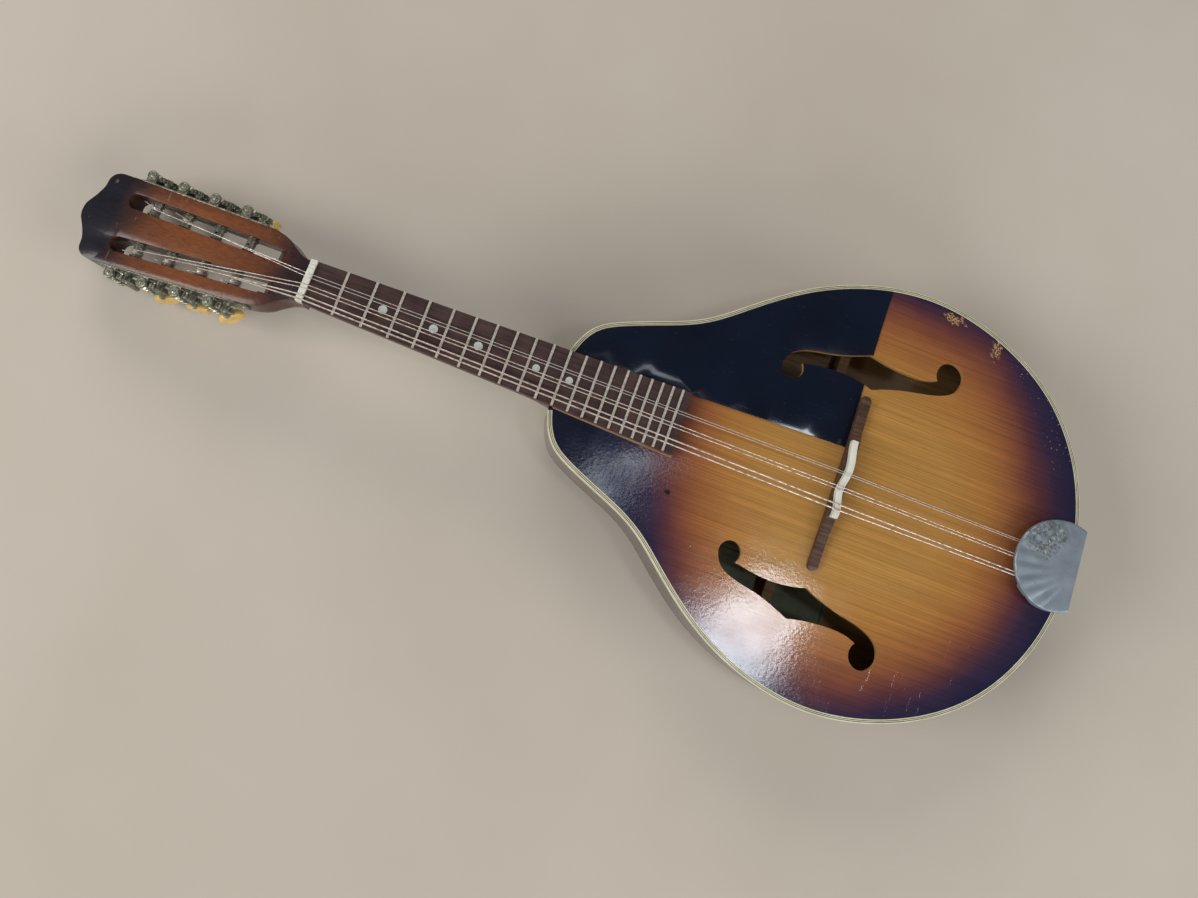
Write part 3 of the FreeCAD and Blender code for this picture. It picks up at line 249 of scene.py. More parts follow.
def stained_neck():
    """Red-brown stain on the headstock's face, near black at its tip, and dark on the neck."""
    look = Finish("stained_neck", {"Specular IOR Level": 0.1, "Coat Weight": 0.6, "Coat Roughness": 0.14})
    from_start = look.vector("SUBTRACT", look.place, HEAD_START)
    u = look.vector("DOT_PRODUCT", from_start, TO_TIP)
    cloud = look.maths("MULTIPLY", look.maths("SUBTRACT", look.noise(0.05, 3.0), 0.5), 16.0)
    along = look.remap(look.maths("ADD", u, cloud), 0, 160)
    face = look.ramp(along, (0.0, srgb(40, 30, 38)), (0.1, srgb(60, 38, 38)), (0.2, srgb(110, 64, 40)),
                     (0.5, srgb(130, 76, 44)), (0.72, srgb(112, 66, 42)), (0.8, srgb(66, 42, 38)),
                     (0.87, srgb(32, 28, 38)), (1.0, srgb(24, 24, 36)))
    grain = look.noise(1.0, 5.0, look.drawn(0.03, 0.9, 0.9), 0.6)
    shading = look.remap(look.noise(0.02, 4.0), 0.3, 0.7)
    side = look.ramp(shading, (0.0, srgb(46, 28, 24)), (1.0, srgb(78, 46, 34)))
    on_face = look.remap(look.facing(FACE_NORMAL), 0.85, 0.95)
    colour = look.mix(on_face, side, face)
    colour = look.mix(1.0, colour, look.grey(look.remap(grain, 0.3, 0.7), 0.72, 1.2), "MULTIPLY")
    v = look.vector("DOT_PRODUCT", look.place, (0, 1, 0))
    rim = look.remap(look.maths("ABSOLUTE", v), 22, 31)
    colour = look.mix(look.maths("MULTIPLY", rim, 0.5), colour, srgb(40, 26, 26))
    marks = look.remap(look.noise(1.0, 2.0, look.drawn(0.9, 0.1, 0.4)), 0.73, 0.75)
    dents = look.patch((-133, -24, -33), (0.35, 4, 9), 0.12, 1.2)
    dents = look.maths("MAXIMUM", dents, look.patch((-110, 25, -27), (0.6, 3.5, 9), 0.15, 1.2))
    dents = look.maths("MAXIMUM", dents, look.patch((-148, 24, -36), (1.2, 1.4, 9), 0.5, 1.4))
    worn = look.maths("MAXIMUM", look.maths("MULTIPLY", marks, 0.35), look.maths("MULTIPLY", dents, 0.3))
    colour = look.mix(worn, colour, srgb(170, 140, 112))
    rough = look.remap(look.noise(0.12, 5.0), 0.3, 0.7, 0.36, 0.55)
    relief = look.bump((grain, 0.03), (look.noise(0.3, 3.0), 0.05), (worn, -0.04))
    look.set({"Base Color": colour, "Roughness": rough, "Normal": relief, "Coat Normal": relief})
    return look.material


def rosewood(name, dark, light):
    """Open-pored dark wood, its pores drawn out along the instrument."""
    look = Finish(name, {"Specular IOR Level": 0.3, "Coat Weight": 0.08, "Coat Roughness": 0.3})
    streaks = look.noise(1.0, 5.0, look.drawn(0.025, 0.55, 0.4), 0.5)
    pores = look.remap(look.noise(1.0, 2.0, look.drawn(0.22, 3.6, 2.0)), 0.62, 0.7)
    colour = look.ramp(look.remap(streaks, 0.28, 0.72), (0.0, dark), (1.0, light))
    colour = look.mix(look.maths("MULTIPLY", pores, 0.7), colour, srgb(26, 16, 15))
    dusty = look.remap(look.noise(0.06, 5.0), 0.45, 0.75)
    colour = look.mix(look.maths("MULTIPLY", dusty, 0.25), colour, srgb(120, 96, 84))
    rough = look.remap(streaks, 0.3, 0.7, 0.42, 0.6)
    relief = look.bump((pores, -0.06), (streaks, 0.03))
    look.set({"Base Color": colour, "Roughness": rough, "Normal": relief})
    return look.material


def inner_wood():
    """Raw, dusty inside wood."""
    look = Finish("inner_wood", {"Roughness": 0.8})
    grain = look.noise(1.0, 4.0, look.drawn(0.03, 0.8, 0.5), 0.3)
    colour = look.ramp(look.remap(grain, 0.3, 0.7), (0.0, srgb(134, 100, 62)), (1.0, srgb(182, 144, 98)))
    dust = look.remap(look.noise(0.04, 4.0), 0.4, 0.7)
    colour = look.mix(look.maths("MULTIPLY", dust, 0.3), colour, srgb(110, 96, 78))
    look.set({"Base Color": colour, "Normal": look.bump((grain, 0.06))})
    return look.material


def plastic(name, light, dark, roughness, stain, transmission=0.0):
    """Moulded plastic or bone with clouding, handling marks and fine scratches."""
    look = Finish(name, {"Coat Weight": 0.3, "Coat Roughness": 0.15, "Subsurface Weight": transmission,
                         "Subsurface Radius": (0.002, 0.0015, 0.001), "Subsurface Scale": 0.6})
    cloud = look.noise(0.09, 4.0)
    colour = look.ramp(look.remap(cloud, 0.3, 0.7), (0.0, dark), (1.0, light))
    grime = look.remap(look.noise(0.5, 6.0), 0.56, 0.74)
    colour = look.mix(look.maths("MULTIPLY", grime, 0.35), colour, stain)
    scratch = look.remap(look.noise(1.0, 2.0, look.drawn(0.3, 2.5, 0.8)), 0.66, 0.7)
    rough = look.remap(look.noise(0.35, 5.0), 0.3, 0.7, roughness - 0.08, roughness + 0.12)
    look.set({"Base Color": colour, "Roughness": rough,
              "Normal": look.bump((cloud, 0.05), (scratch, -0.012))})
    return look.material


def dark_sheet():
    """Glossy blue-black plastic sheet with hairline scratches and dust."""
    look = Finish("dark_sheet", {"Specular IOR Level": 0.3, "Coat Weight": 0.4, "Coat Roughness": 0.06})
    cloud = look.noise(0.02, 3.0)
    colour = look.ramp(look.remap(cloud, 0.3, 0.7), (0.0, srgb(4, 12, 30)), (1.0, srgb(9, 20, 40)))
    dust = look.remap(look.cells(0.16), 0.05, 0.02)
    colour = look.mix(look.maths("MULTIPLY", dust, 0.35), colour, srgb(110, 120, 130))
    scratch = look.remap(look.noise(1.0, 2.0, look.drawn(0.05, 1.4, 0.5), 0.6), 0.7, 0.73)
    rough = look.maths("ADD", look.remap(look.noise(0.07, 5.0), 0.3, 0.7, 0.12, 0.24),
                       look.maths("MULTIPLY", scratch, 0.25))
    relief = look.bump((look.noise(0.05, 2.0), 0.03), (scratch, -0.008))
    look.set({"Base Color": colour, "Roughness": rough, "Normal": relief, "Coat Normal": relief})
    return look.material


def aged_paper():
    """Grey-green label with a plain ruled border and brown foxing."""
    look = Finish("aged_paper", {"Roughness": 0.85})
    low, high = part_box("paper_label")
    middle = ((low + high) / 2 - NUT) / MM
    half = (high - low) / 2 / MM
    offset = look.vector("ABSOLUTE", look.vector("SUBTRACT", look.place, tuple(middle)), (0, 0, 0))
    split = look.add("ShaderNodeSeparateXYZ", {"Vector": offset})
    to_edge = look.maths("MINIMUM", look.maths("SUBTRACT", half.x, split.outputs[0]),
                         look.maths("SUBTRACT", half.y, split.outputs[1]))
    rule = look.maths("LESS_THAN", look.maths("ABSOLUTE", look.maths("SUBTRACT", to_edge, 3.0)), 0.35)
    fibres = look.noise(1.4, 5.0)
    colour = look.ramp(look.remap(fibres, 0.3, 0.7), (0.0, srgb(132, 140, 112)), (1.0, srgb(158, 164, 136)))
    foxing = look.remap(look.noise(0.07, 5.0), 0.52, 0.72)
    colour = look.mix(look.maths("MULTIPLY", foxing, 0.6), colour, srgb(96, 92, 50))
    colour = look.mix(look.maths("MULTIPLY", rule, 0.8), colour, srgb(34, 38, 36))
    look.set({"Base Color": colour, "Normal": look.bump((fibres, 0.05))})
    return look.material


def metal(name, bright, dull, roughness, tarnish, amount, along=(1.0, 1.0, 1.0), metallic=1.0):
    """Metal with brushed lines, a mottled tarnish and pitting."""
    look = Finish(name, {})
    brushed = look.noise(1.0, 4.0, look.drawn(*along))
    colour = look.ramp(look.remap(brushed, 0.3, 0.7), (0.0, dull), (1.0, bright))
    spread = look.remap(look.noise(0.35, 6.0), 0.5 - amount * 0.3, 0.72 - amount * 0.3)
    colour = look.mix(look.maths("MULTIPLY", spread, 0.75), colour, tarnish)
    pits = look.remap(look.cells(1.3), 0.16, 0.06)
    rough = look.maths("ADD", look.remap(brushed, 0.3, 0.7, roughness - 0.06, roughness + 0.08),
                       look.maths("MULTIPLY", spread, 0.22))
    shine = look.remap(spread, 0.0, 1.0, metallic, metallic * 0.6)
    look.set({"Base Color": colour, "Roughness": rough, "Metallic": shine,
              "Normal": look.bump((brushed, 0.012), (spread, -0.02), (pits, -0.02))})
    return look.material


def tail_plate():
    """Blue-grey plating, clouded, with a dirty worn area on the front of the treble side."""
    look = Finish("tail_plate", {})
    cloud = look.noise(0.08, 4.0)
    colour = look.ramp(look.remap(cloud, 0.3, 0.7), (0.0, srgb(132, 143, 152)), (1.0, srgb(154, 165, 176)))
    zone = look.patch((494, 15, 2), (14, 14, 14), 0.35, 0.12)
    mottle = look.remap(look.noise(0.5, 6.0, distortion=0.6), 0.46, 0.6)
    dirt = look.maths("MULTIPLY", zone, mottle)
    freckles = look.maths("MULTIPLY", look.remap(look.noise(0.8, 5.0), 0.6, 0.7), 0.35)
    dirt = look.maths("MAXIMUM", dirt, freckles)
    colour = look.mix(look.maths("MULTIPLY", dirt, 0.8), colour, srgb(72, 76, 62))
    bright = look.maths("MULTIPLY", zone, look.remap(look.noise(0.35, 5.0, distortion=1.0), 0.6, 0.68))
    colour = look.mix(bright, colour, srgb(212, 214, 200))
    rough = look.remap(dirt, 0.0, 1.0, 0.45, 0.7)
    look.set({"Base Color": colour, "Roughness": rough, "Metallic": look.remap(dirt, 0.0, 1.0, 0.5, 0.2),
              "Normal": look.bump((cloud, 0.15), (dirt, -0.04), (look.noise(1.5, 4.0), 0.02))})
    return look.material


def pearl():
    """Shell dots with soft coloured clouds."""
    look = Finish("pearl", {"Roughness": 0.22, "Coat Weight": 0.6, "Coat Roughness": 0.08})
    waves = look.noise(0.45, 4.0, distortion=2.2)
    colour = look.ramp(look.remap(waves, 0.3, 0.7), (0.0, srgb(150, 158, 150)), (0.35, srgb(206, 212, 200)),
                       (0.6, srgb(188, 200, 204)), (0.8, srgb(226, 222, 206)), (1.0, srgb(178, 186, 180)))
    look.set({"Base Color": colour, "Normal": look.bump((waves, 0.05))})
    return look.material


finishes = {
    "top_lacquer": sunburst_top(),
    "body_lacquer": dark_lacquer(),
    "neck_lacquer": stained_neck(),
    "rosewood": rosewood("rosewood", srgb(44, 30, 30), srgb(80, 58, 54)),
    "inner_wood": inner_wood(),
    "binding": plastic("cream_binding", srgb(226, 222, 194), srgb(204, 198, 164), 0.3, srgb(150, 142, 104)),
    "dark_sheet": dark_sheet(),
    "paper": aged_paper(),
    "fret_wire": metal("fret_wire", srgb(236, 230, 220), srgb(206, 198, 186), 0.3, srgb(150, 140, 120), 0.15,
                       metallic=0.55),
    "pearl": pearl(),
    "white_bone": plastic("white_bone", srgb(236, 236, 224), srgb(218, 218, 202), 0.34, srgb(176, 170, 148),
                          transmission=0.1),
    "tail_plate": tail_plate(),
    "plated_metal": metal("plated_metal", srgb(186, 184, 168), srgb(138, 137, 122), 0.34,
                          srgb(84, 84, 66), 0.4),
    "black_plastic": plastic("black_plastic", srgb(30, 30, 30), srgb(18, 18, 18), 0.3, srgb(70, 66, 60)),
    "knob_plastic": plastic("knob_plastic", srgb(228, 196, 118), srgb(204, 164, 84), 0.26, srgb(140, 104, 48),
                            transmission=0.15),
    "string_wire": metal("string_wire", srgb(246, 238, 230), srgb(214, 204, 196), 0.3,
                         srgb(150, 132, 118), 0.1, metallic=0.5),
}
worn_rosewood = rosewood("worn_rosewood", srgb(46, 30, 24), srgb(104, 74, 56))
dark_ply = plastic("dark_ply", srgb(64, 62, 44), srgb(40, 40, 30), 0.35, srgb(100, 96, 70))
wound_wire = metal("wound_wire", srgb(240, 226, 214), srgb(196, 180, 168), 0.32, srgb(130, 110, 94), 0.15,
                   along=(0.2, 4, 4), metallic=0.5)
support_wood = rosewood("support_wood", srgb(120, 88, 62), srgb(176, 142, 108))

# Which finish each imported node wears
NODE_FINISHES = {
    "top_lacquer": ["soundboard"],
    "body_lacquer": ["back_plate", "rib_treble", "rib_bass"],
    "neck_lacquer": ["neck"],
    "rosewood": ["fingerboard"],
    "inner_wood": ["neck_block", "tail_block", "top_linings", "back_linings", "tone_bars", "back_braces"],
    "dark_sheet": ["pickguard"],
    "paper": ["paper_label"],
    "fret_wire": ["frets"],
    "pearl": ["position_dots"],
    "white_bone": ["nut", "bridge_saddle"],
    "tail_plate": ["tailpiece_base"],
    "plated_metal": ["tailpiece_screws", "tuner_plate_bass", "tuner_plate_treble", "tuner_plate_screws"],
    "black_plastic": ["end_pin"],
}
# Bevel widths of the nodes whose edges are seen, in millimetres
BEVELS = {"neck": 0.5, "fingerboard": 0.25, "nut": 0.12, "bridge_saddle": 0.35, "bridge_base": 0.5,
          "pickguard": 0.12, "tuner_plate_bass": 0.15, "tuner_plate_treble": 0.15, "tailpiece_base": 0.12}
LATHE_STEPS = 28
WIRE_SIDES = 10


# ---------------------------------------------------------------- meshes

def smoothing():
    """Modifier group: smooth faces, with edges over 32 degrees left sharp."""
    group = bpy.data.node_groups.new("smooth_by_angle", "GeometryNodeTree")
    group.interface.new_socket("Geometry", in_out="INPUT", socket_type="NodeSocketGeometry")
    group.interface.new_socket("Geometry", in_out="OUTPUT", socket_type="NodeSocketGeometry")
    start = group.nodes.new("NodeGroupInput")
    end = group.nodes.new("NodeGroupOutput")
    faces = group.nodes.new("GeometryNodeSetShadeSmooth")
    edges = group.nodes.new("GeometryNodeSetShadeSmooth")
    edges.domain = "EDGE"
    edges.inputs["Shade Smooth"].default_value = False
    angle = group.nodes.new("GeometryNodeInputMeshEdgeAngle")
    sharp = group.nodes.new("FunctionNodeCompare")
    sharp.inputs[1].default_value = math.radians(32)
    group.links.new(angle.outputs["Unsigned Angle"], sharp.inputs[0])
    group.links.new(start.outputs[0], faces.inputs[0])
    group.links.new(faces.outputs[0], edges.inputs[0])
    group.links.new(sharp.outputs[0], edges.inputs["Selection"])
    group.links.new(edges.outputs[0], end.inputs[0])
    return group


SMOOTHING = smoothing()


def refine(thing, bevel=0.0, weld=True):
    """Joined vertices, small bevels in millimetres and smooth shading, all as modifiers."""
    if weld:
        joined = thing.modifiers.new("weld", "WELD")
        joined.merge_threshold = 0.002 * MM
    if bevel:
        softened = thing.modifiers.new("bevel", "BEVEL")
        softened.width = bevel * MM
        softened.segments = 2
        softened.limit_method = "ANGLE"
        softened.angle_limit = math.radians(40)
        softened.use_clamp_overlap = True
    shaded = thing.modifiers.new("smooth", "NODES")
    shaded.node_group = SMOOTHING


def dress(name, finish, bevel=0.0):
    """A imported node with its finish, bevels and smooth shading."""
    thing = nodes[name]
    mesh = thing.data
    mesh.materials.clear()
    mesh.materials.append(finish)
    if "custom_normal" in mesh.attributes:
        mesh.attributes.remove(mesh.attributes["custom_normal"])
    refine(thing, bevel)


def piece(name, vertices, faces, finish, body, replaced=(), bevel=0.0):
    """A new object from vertices in metres, riding on a body."""
    mesh = bpy.data.meshes.new(name)
    mesh.from_pydata(vertices, [], faces)
    mesh.validate()
    mesh.materials.append(finish)
    fix = bmesh.new()
    fix.from_mesh(mesh)
    bmesh.ops.recalc_face_normals(fix, faces=fix.faces)
    fix.to_mesh(mesh)
    fix.free()
    thing = bpy.data.objects.new(name, mesh)
    bpy.context.scene.collection.objects.link(thing)
    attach(thing, body)
    if replaced:
        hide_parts(*replaced)
    refine(thing, bevel, weld=False)
    return thing


def tube_faces(rows, count):
    """Quads between rows of count vertices each, going round, and last a cap on each end."""
    faces = []
    for row in range(rows - 1):
        for k in range(count):
            a, b = row * count + k, row * count + (k + 1) % count
            faces.append((a, b, b + count, a + count))
    faces.append(tuple(reversed(range(count))))
    faces.append(tuple(range((rows - 1) * count, rows * count)))
    return faces


def lathe(profile, centre, axis, around):
    """Vertices and faces of (radius, height) pairs in millimetres turned about an axis."""
    across = axis.cross(around)
    vertices = []
    for radius, height in profile:
        for k in range(LATHE_STEPS):
            angle = 2 * math.pi * k / LATHE_STEPS
            ray = around * math.cos(angle) + across * math.sin(angle)
            vertices.append(centre + (ray * radius + axis * height) * MM)
    return vertices, tube_faces(len(profile), LATHE_STEPS)


def reach(name, direction):
    """Lowest and highest place of a node along a direction, in millimetres."""
    places = [vertex.co.dot(direction) / MM for vertex in nodes[name].data.vertices]
    return min(places), max(places)


def fade(value, low, high):
    """Smooth step from 0 at low to 1 at high."""
    share = min(1.0, max(0.0, (value - low) / (high - low)))
    return share * share * (3 - 2 * share)


# ---------------------------------------------------------------- binding

# Start and end of each ply in millimetres from the outside, and whether it is dark
BINDING_PLIES = [(0.0, 0.85, False), (0.85, 1.3, True), (1.3, 1.85, False), (1.85, 2.25, True),
                 (2.25, 3.0, False)]
BINDING_STEP = 2.0


def top_border(name):
    """The longest border loop of a node's flat top, in order around it."""
    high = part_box(name)[1].z
    top = bmesh.new()
    top.from_mesh(nodes[name].data)
    bmesh.ops.remove_doubles(top, verts=top.verts, dist=0.002 * MM)
    lower = [vertex for vertex in top.verts if vertex.co.z < high - 0.01 * MM]
    bmesh.ops.delete(top, geom=lower, context="VERTS")
    border = {edge for edge in top.edges if edge.is_boundary}
    loops = []
    while border:
        first = min(border, key=lambda edge: edge.index)
        border.discard(first)
        start, current = first.verts
        loop = [start.co.copy()]
        while current:
            loop.append(current.co.copy())
            onward = [edge for edge in current.link_edges if edge in border]
            border.difference_update(onward[:1])
            current = onward[0].other_vert(current) if onward else None
        loops.append(loop)
    top.free()
    return max(loops, key=path_length)


def outer_path(name):
    """The outer border from one side of the fingerboard round to the other, less its straight front."""
    loop = top_border(name)
    loop = loop[:-1] if (loop[-1] - loop[0]).length < 0.01 * MM else loop
    first = max(range(len(loop)), key=lambda k: (loop[k] - loop[k - 1]).length)
    return loop[first:] + loop[:first]


def path_length(path):
    """Length of a row of points, in metres."""
    return sum((b - a).length for a, b in zip(path, path[1:]))


def resampled(path, step):
    """Points a step apart along a path, both ends included."""
    total = path_length(path)
    count = max(2, round(total / step))
    marks = [total * k / count for k in range(count + 1)]
    points, run, k = [], 0.0, 0
    for mark in marks:
        while k < len(path) - 2 and run + (path[k + 1] - path[k]).length < mark:
            run += (path[k + 1] - path[k]).length
            k += 1
        length = (path[k + 1] - path[k]).length
        share = (mark - run) / length if length else 0.0
        points.append(path[k].lerp(path[k + 1], min(1.0, share)))
    return points


def make_binding():
    """Pale and dark plies side by side along the rim, the outermost with a rounded edge."""
    path = resampled(outer_path("top_binding"), BINDING_STEP * MM)
    low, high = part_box("top_binding")
    depth = (high.z - low.z) / MM
    inwards = []
    centre = at(*BURST_CENTRE)
    for k, point in enumerate(path):
        tangent = (path[min(k + 1, len(path) - 1)] - path[max(k - 1, 0)]).normalized()
        inwards.append(tangent.cross(UP))
    middle = len(path) // 2
    if inwards[middle].dot(centre - path[middle]) < 0:
        inwards = [-normal for normal in inwards]
    for number, (start, end, dark) in enumerate(BINDING_PLIES):
        if number == 0:
            section = [(0, -depth), (0, -0.7), (0.12, -0.3), (0.4, -0.05), (end, 0), (end, -depth)]
        else:
            section = [(start, -depth), (start, -0.05), (start + 0.06, 0),
                       (end - 0.06, 0), (end, -0.05), (end, -depth)]
        vertices = []
        for point, normal in zip(path, inwards):
            vertices += [point + (normal * across + UP * height) * MM for across, height in section]
        faces = tube_faces(len(path), len(section))
        finish = dark_ply if dark else finishes["binding"]
        replaced = ["top_binding"] if number == 0 else []
        piece("binding_ply_%d" % (number + 1), vertices, faces, finish, "root", replaced)


# ---------------------------------------------------------------- tailpiece cover

SLIDE = Vector(joints["cover_slide"]["axis"])
ACROSS_TAIL = UP.cross(SLIDE)
FLUTES = 13
FLUTE_DEPTH = 0.6
COVER_WALL = 0.7
COVER_EDGE_RADIUS = 1.6
COVER_EDGE_STEPS = 4
COVER_DOME = 1.2
COVER_RAYS = 104
COVER_RINGS = 22
FRONT_RIM_Z = -0.4          # bottom of the cover's front edge, over the strings
SIDE_RIM_Z = -4.2           # bottom of its sides


def rim_reach(angle, radius, setback):
    """Distance to the round rim from the middle of the straight edge, a setback from the circle's centre."""
    along = setback * math.cos(angle)
    return along + math.sqrt(along ** 2 + radius ** 2 - setback ** 2)


def join_facing_up(thing):
    """Joins vertices that fall on each other, and turns the faces of an open sheet upwards."""
    join = bmesh.new()
    join.from_mesh(thing.data)
    bmesh.ops.remove_doubles(join, verts=join.verts, dist=0.005 * MM)
    join.normal_update()
    if sum(face.normal.z * face.calc_area() for face in join.faces) < 0:
        bmesh.ops.reverse_faces(join, faces=join.faces)
    join.to_mesh(thing.data)
    join.free()


def cover_row(k, limit, top):
    """One ray of the cover, from its focus to its rim: distance and height pairs in millimetres."""
    angle = cover_angle(k)
    wave = abs(math.sin(math.pi * FLUTES * k / COVER_RAYS)) ** 1.6
    to_front = fade(math.cos(angle), 0.25, 0.6)
    row = []
    for ring in range(COVER_RINGS + 1):
        share = ring / COVER_RINGS
        groove = FLUTE_DEPTH * (1 - wave) * fade(share, 0.4, 0.95) * to_front
        dome = COVER_DOME * share ** 3 * fade(math.cos(angle), 0.0, 0.6)
        row.append(((limit - COVER_EDGE_RADIUS) * share, top - dome - groove))
    edge_z = row[-1][1]
    for step in range(1, COVER_EDGE_STEPS + 1):
        bend = math.radians(90 * step / COVER_EDGE_STEPS)
        outwards = limit - COVER_EDGE_RADIUS + COVER_EDGE_RADIUS * math.sin(bend)
        row.append((outwards, edge_z - COVER_EDGE_RADIUS * (1 - math.cos(bend))))
    bottom = SIDE_RIM_Z + (FRONT_RIM_Z - SIDE_RIM_Z) * fade(math.cos(angle), 0.55, 0.8)
    row.append((limit, min(bottom, edge_z - COVER_EDGE_RADIUS - 0.2)))
    return row


def cover_angle(k):
    return math.radians(-90 + 180 * k / COVER_RAYS)


def make_tail_cover():
    """Pressed cover: round with a straight back edge, and creases that fade inwards from its front rim."""
    front, back = reach("tailpiece_cover", SLIDE)
    left, right = reach("tailpiece_cover", ACROSS_TAIL)
    top = (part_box("tailpiece_cover")[1].z - NUT.z) / MM
    radius = (right - left) / 2
    focus = (SLIDE * back + ACROSS_TAIL * (left + right) / 2) * MM
    focus.z = NUT.z
    rows = []
    for k in range(COVER_RAYS + 1):
        angle = cover_angle(k)
        ray = -SLIDE * math.cos(angle) + ACROSS_TAIL * math.sin(angle)
        row = cover_row(k, rim_reach(angle, radius, back - front - radius), top)
        rows.append([focus + (ray * distance + UP * z) * MM for distance, z in row])
    count = len(rows[0])
    vertices = [vertex for row in rows for vertex in row]
    faces = []
    for k in range(COVER_RAYS):
        for j in range(count - 1):
            first = k * count + j
            faces.append((first, first + 1, first + count + 1, first + count))
    shell = piece("tail_cover_shell", vertices, faces, finishes["tail_plate"], "cover",
                  ["tailpiece_cover"])
    shell.modifiers.clear()
    join_facing_up(shell)
    sheet = shell.modifiers.new("sheet", "SOLIDIFY")
    sheet.thickness = COVER_WALL * MM
    sheet.offset = -1.0
    refine(shell, weld=False)


# ---------------------------------------------------------------- tuners

def key_frame(side, number):
    """Axis, foot and a level direction of one tuner key."""
    joint = joints["key_turn_%s_%d" % (side, number)]
    axis = Vector(joint["axis"]).normalized()
    level = axis.cross(Vector((0, 1, 0))).normalized()
    return axis, Vector(joint["pos_m"]), level


def along_axis(name, axis, foot):
    """Lowest and highest height of a node along an axis from its foot, in millimetres."""
    low, high = reach(name, axis)
    base = foot.dot(axis) / MM
    return low - base, high - base


# Turned outlines are (radius, height) pairs in millimetres
SHAFT_CAP = [(0.01, 1.35), (0.7, 1.32), (1.15, 1.1), (1.35, 0.75), (2.3, 0.72), (2.75, 1.05), (3.15, 1.0),
             (3.4, 0.65), (3.4, 0.1), (2.6, 0.02), (0.01, 0.02)]
SHAFT_CAP_SINK = 0.75       # how far the cap sits below the shaft's end


def make_shaft_cap(side, number):
    """Dished washer with a riveted middle on top of a worm shaft."""
    axis, foot, level = key_frame(side, number)
    label = "%s_%d" % (side, number)
    top = along_axis("worm_shaft_" + label, axis, foot)[1]
    vertices, faces = lathe(SHAFT_CAP, foot + axis * (top - SHAFT_CAP_SINK) * MM, axis, level)
    piece("shaft_cap_" + label, vertices, faces, finishes["plated_metal"], "tuner_key_" + label)


KNOB_HALF_HEIGHT = 6.2
KNOB_HALF_LENGTH = 8.5
KNOB_HALF_THICKNESS = 3.0
KNOB_RINGS = 22
KNOB_STEPS = 44
FERRULE = [(0.01, 2.6), (1.7, 2.6), (2.1, 2.3), (2.2, 1.6), (2.0, 1.3), (2.6, 1.0), (2.8, 0.2),
           (2.9, -0.8), (0.01, -0.8)]


def power(value, exponent):
    """A power that keeps the sign of the value."""
    return math.copysign(abs(value) ** exponent, value)


def make_knob(side, number):
    """Oval key with flattened, slightly dished faces, and the ferrule that holds it."""
    axis, foot, level = key_frame(side, number)
    label = "%s_%d" % (side, number)
    node = "tuner_knob_" + label
    low = along_axis(node, axis, foot)[0]
    centre = foot + axis * (low + KNOB_HALF_HEIGHT) * MM
    spokes = [vertex.co - foot - axis * (vertex.co - foot).dot(axis) for vertex in nodes[node].data.vertices]
    long_way = max(spokes, key=lambda spoke: spoke.length).normalized()
    thin_way = axis.cross(long_way)
    vertices = []
    for ring in range(KNOB_RINGS + 1):
        lean = math.radians(-88 + 176 * ring / KNOB_RINGS)
        width = power(math.cos(lean), 0.42)
        depth = power(math.sin(lean), 0.8) * KNOB_HALF_THICKNESS
        depth *= 1 - 0.16 * fade(1 - width, 0.25, 0.8)
        for k in range(KNOB_STEPS):
            angle = 2 * math.pi * k / KNOB_STEPS
            spot = long_way * (KNOB_HALF_LENGTH * width * power(math.cos(angle), 0.92))
            spot += axis * (KNOB_HALF_HEIGHT * width * power(math.sin(angle), 0.92))
            vertices.append(centre + (spot + thin_way * depth) * MM)
    body = "tuner_key_" + label
    faces = tube_faces(KNOB_RINGS + 1, KNOB_STEPS)
    piece("key_knob_" + label, vertices, faces, finishes["knob_plastic"], body, [node])
    vertices, faces = lathe(FERRULE, centre + axis * (KNOB_HALF_HEIGHT - 0.2) * MM, axis, level)
    piece("key_ferrule_" + label, vertices, faces, finishes["plated_metal"], body)


SLOT_FROM_EDGE = 14.35      # from the headstock's edge inwards to the middle of a slot
POST_RADIUS = 3.0
FLANGE_SHIFT = 3.6          # from the middle of the post
FLANGE = [(3.02, -0.45), (3.7, -0.45), (3.95, -0.25), (3.95, 0.25), (3.7, 0.45), (3.02, 0.45)]


def post_frame(side, number):
    """Middle of a string post in its slot, its outward axis, the face normal and the way to the tip."""
    joint = joints["post_turn_%s_%d" % (side, number)]
    outward = Vector(joint["axis"]).normalized()
    normal = Vector(joints["key_turn_%s_%d" % (side, number)]["axis"]).normalized()
    to_tip = outward.cross(normal).normalized()
    if to_tip.x > 0:
        to_tip = -to_tip
    return Vector(joint["pos_m"]) - outward * SLOT_FROM_EDGE * MM, outward, normal, to_tip


def make_post_flanges(side, number):
    """Two rings that keep the string in the middle of its post."""
    centre, outward, normal = post_frame(side, number)[:3]
    label = "%s_%d" % (side, number)
    last = (len(FLANGE) - 1) * LATHE_STEPS
    for name, shift in (("inner", -FLANGE_SHIFT), ("outer", FLANGE_SHIFT)):
        vertices, faces = lathe(FLANGE, centre + outward * shift * MM, outward, normal)
        ring_faces = faces[:-2]
        for k in range(LATHE_STEPS):
            after = (k + 1) % LATHE_STEPS
            ring_faces.append((k, after, last + after, last + k))
        piece("post_flange_%s_%s" % (name, label), vertices, ring_faces, finishes["plated_metal"],
              "post_" + label)


# ---------------------------------------------------------------- strings

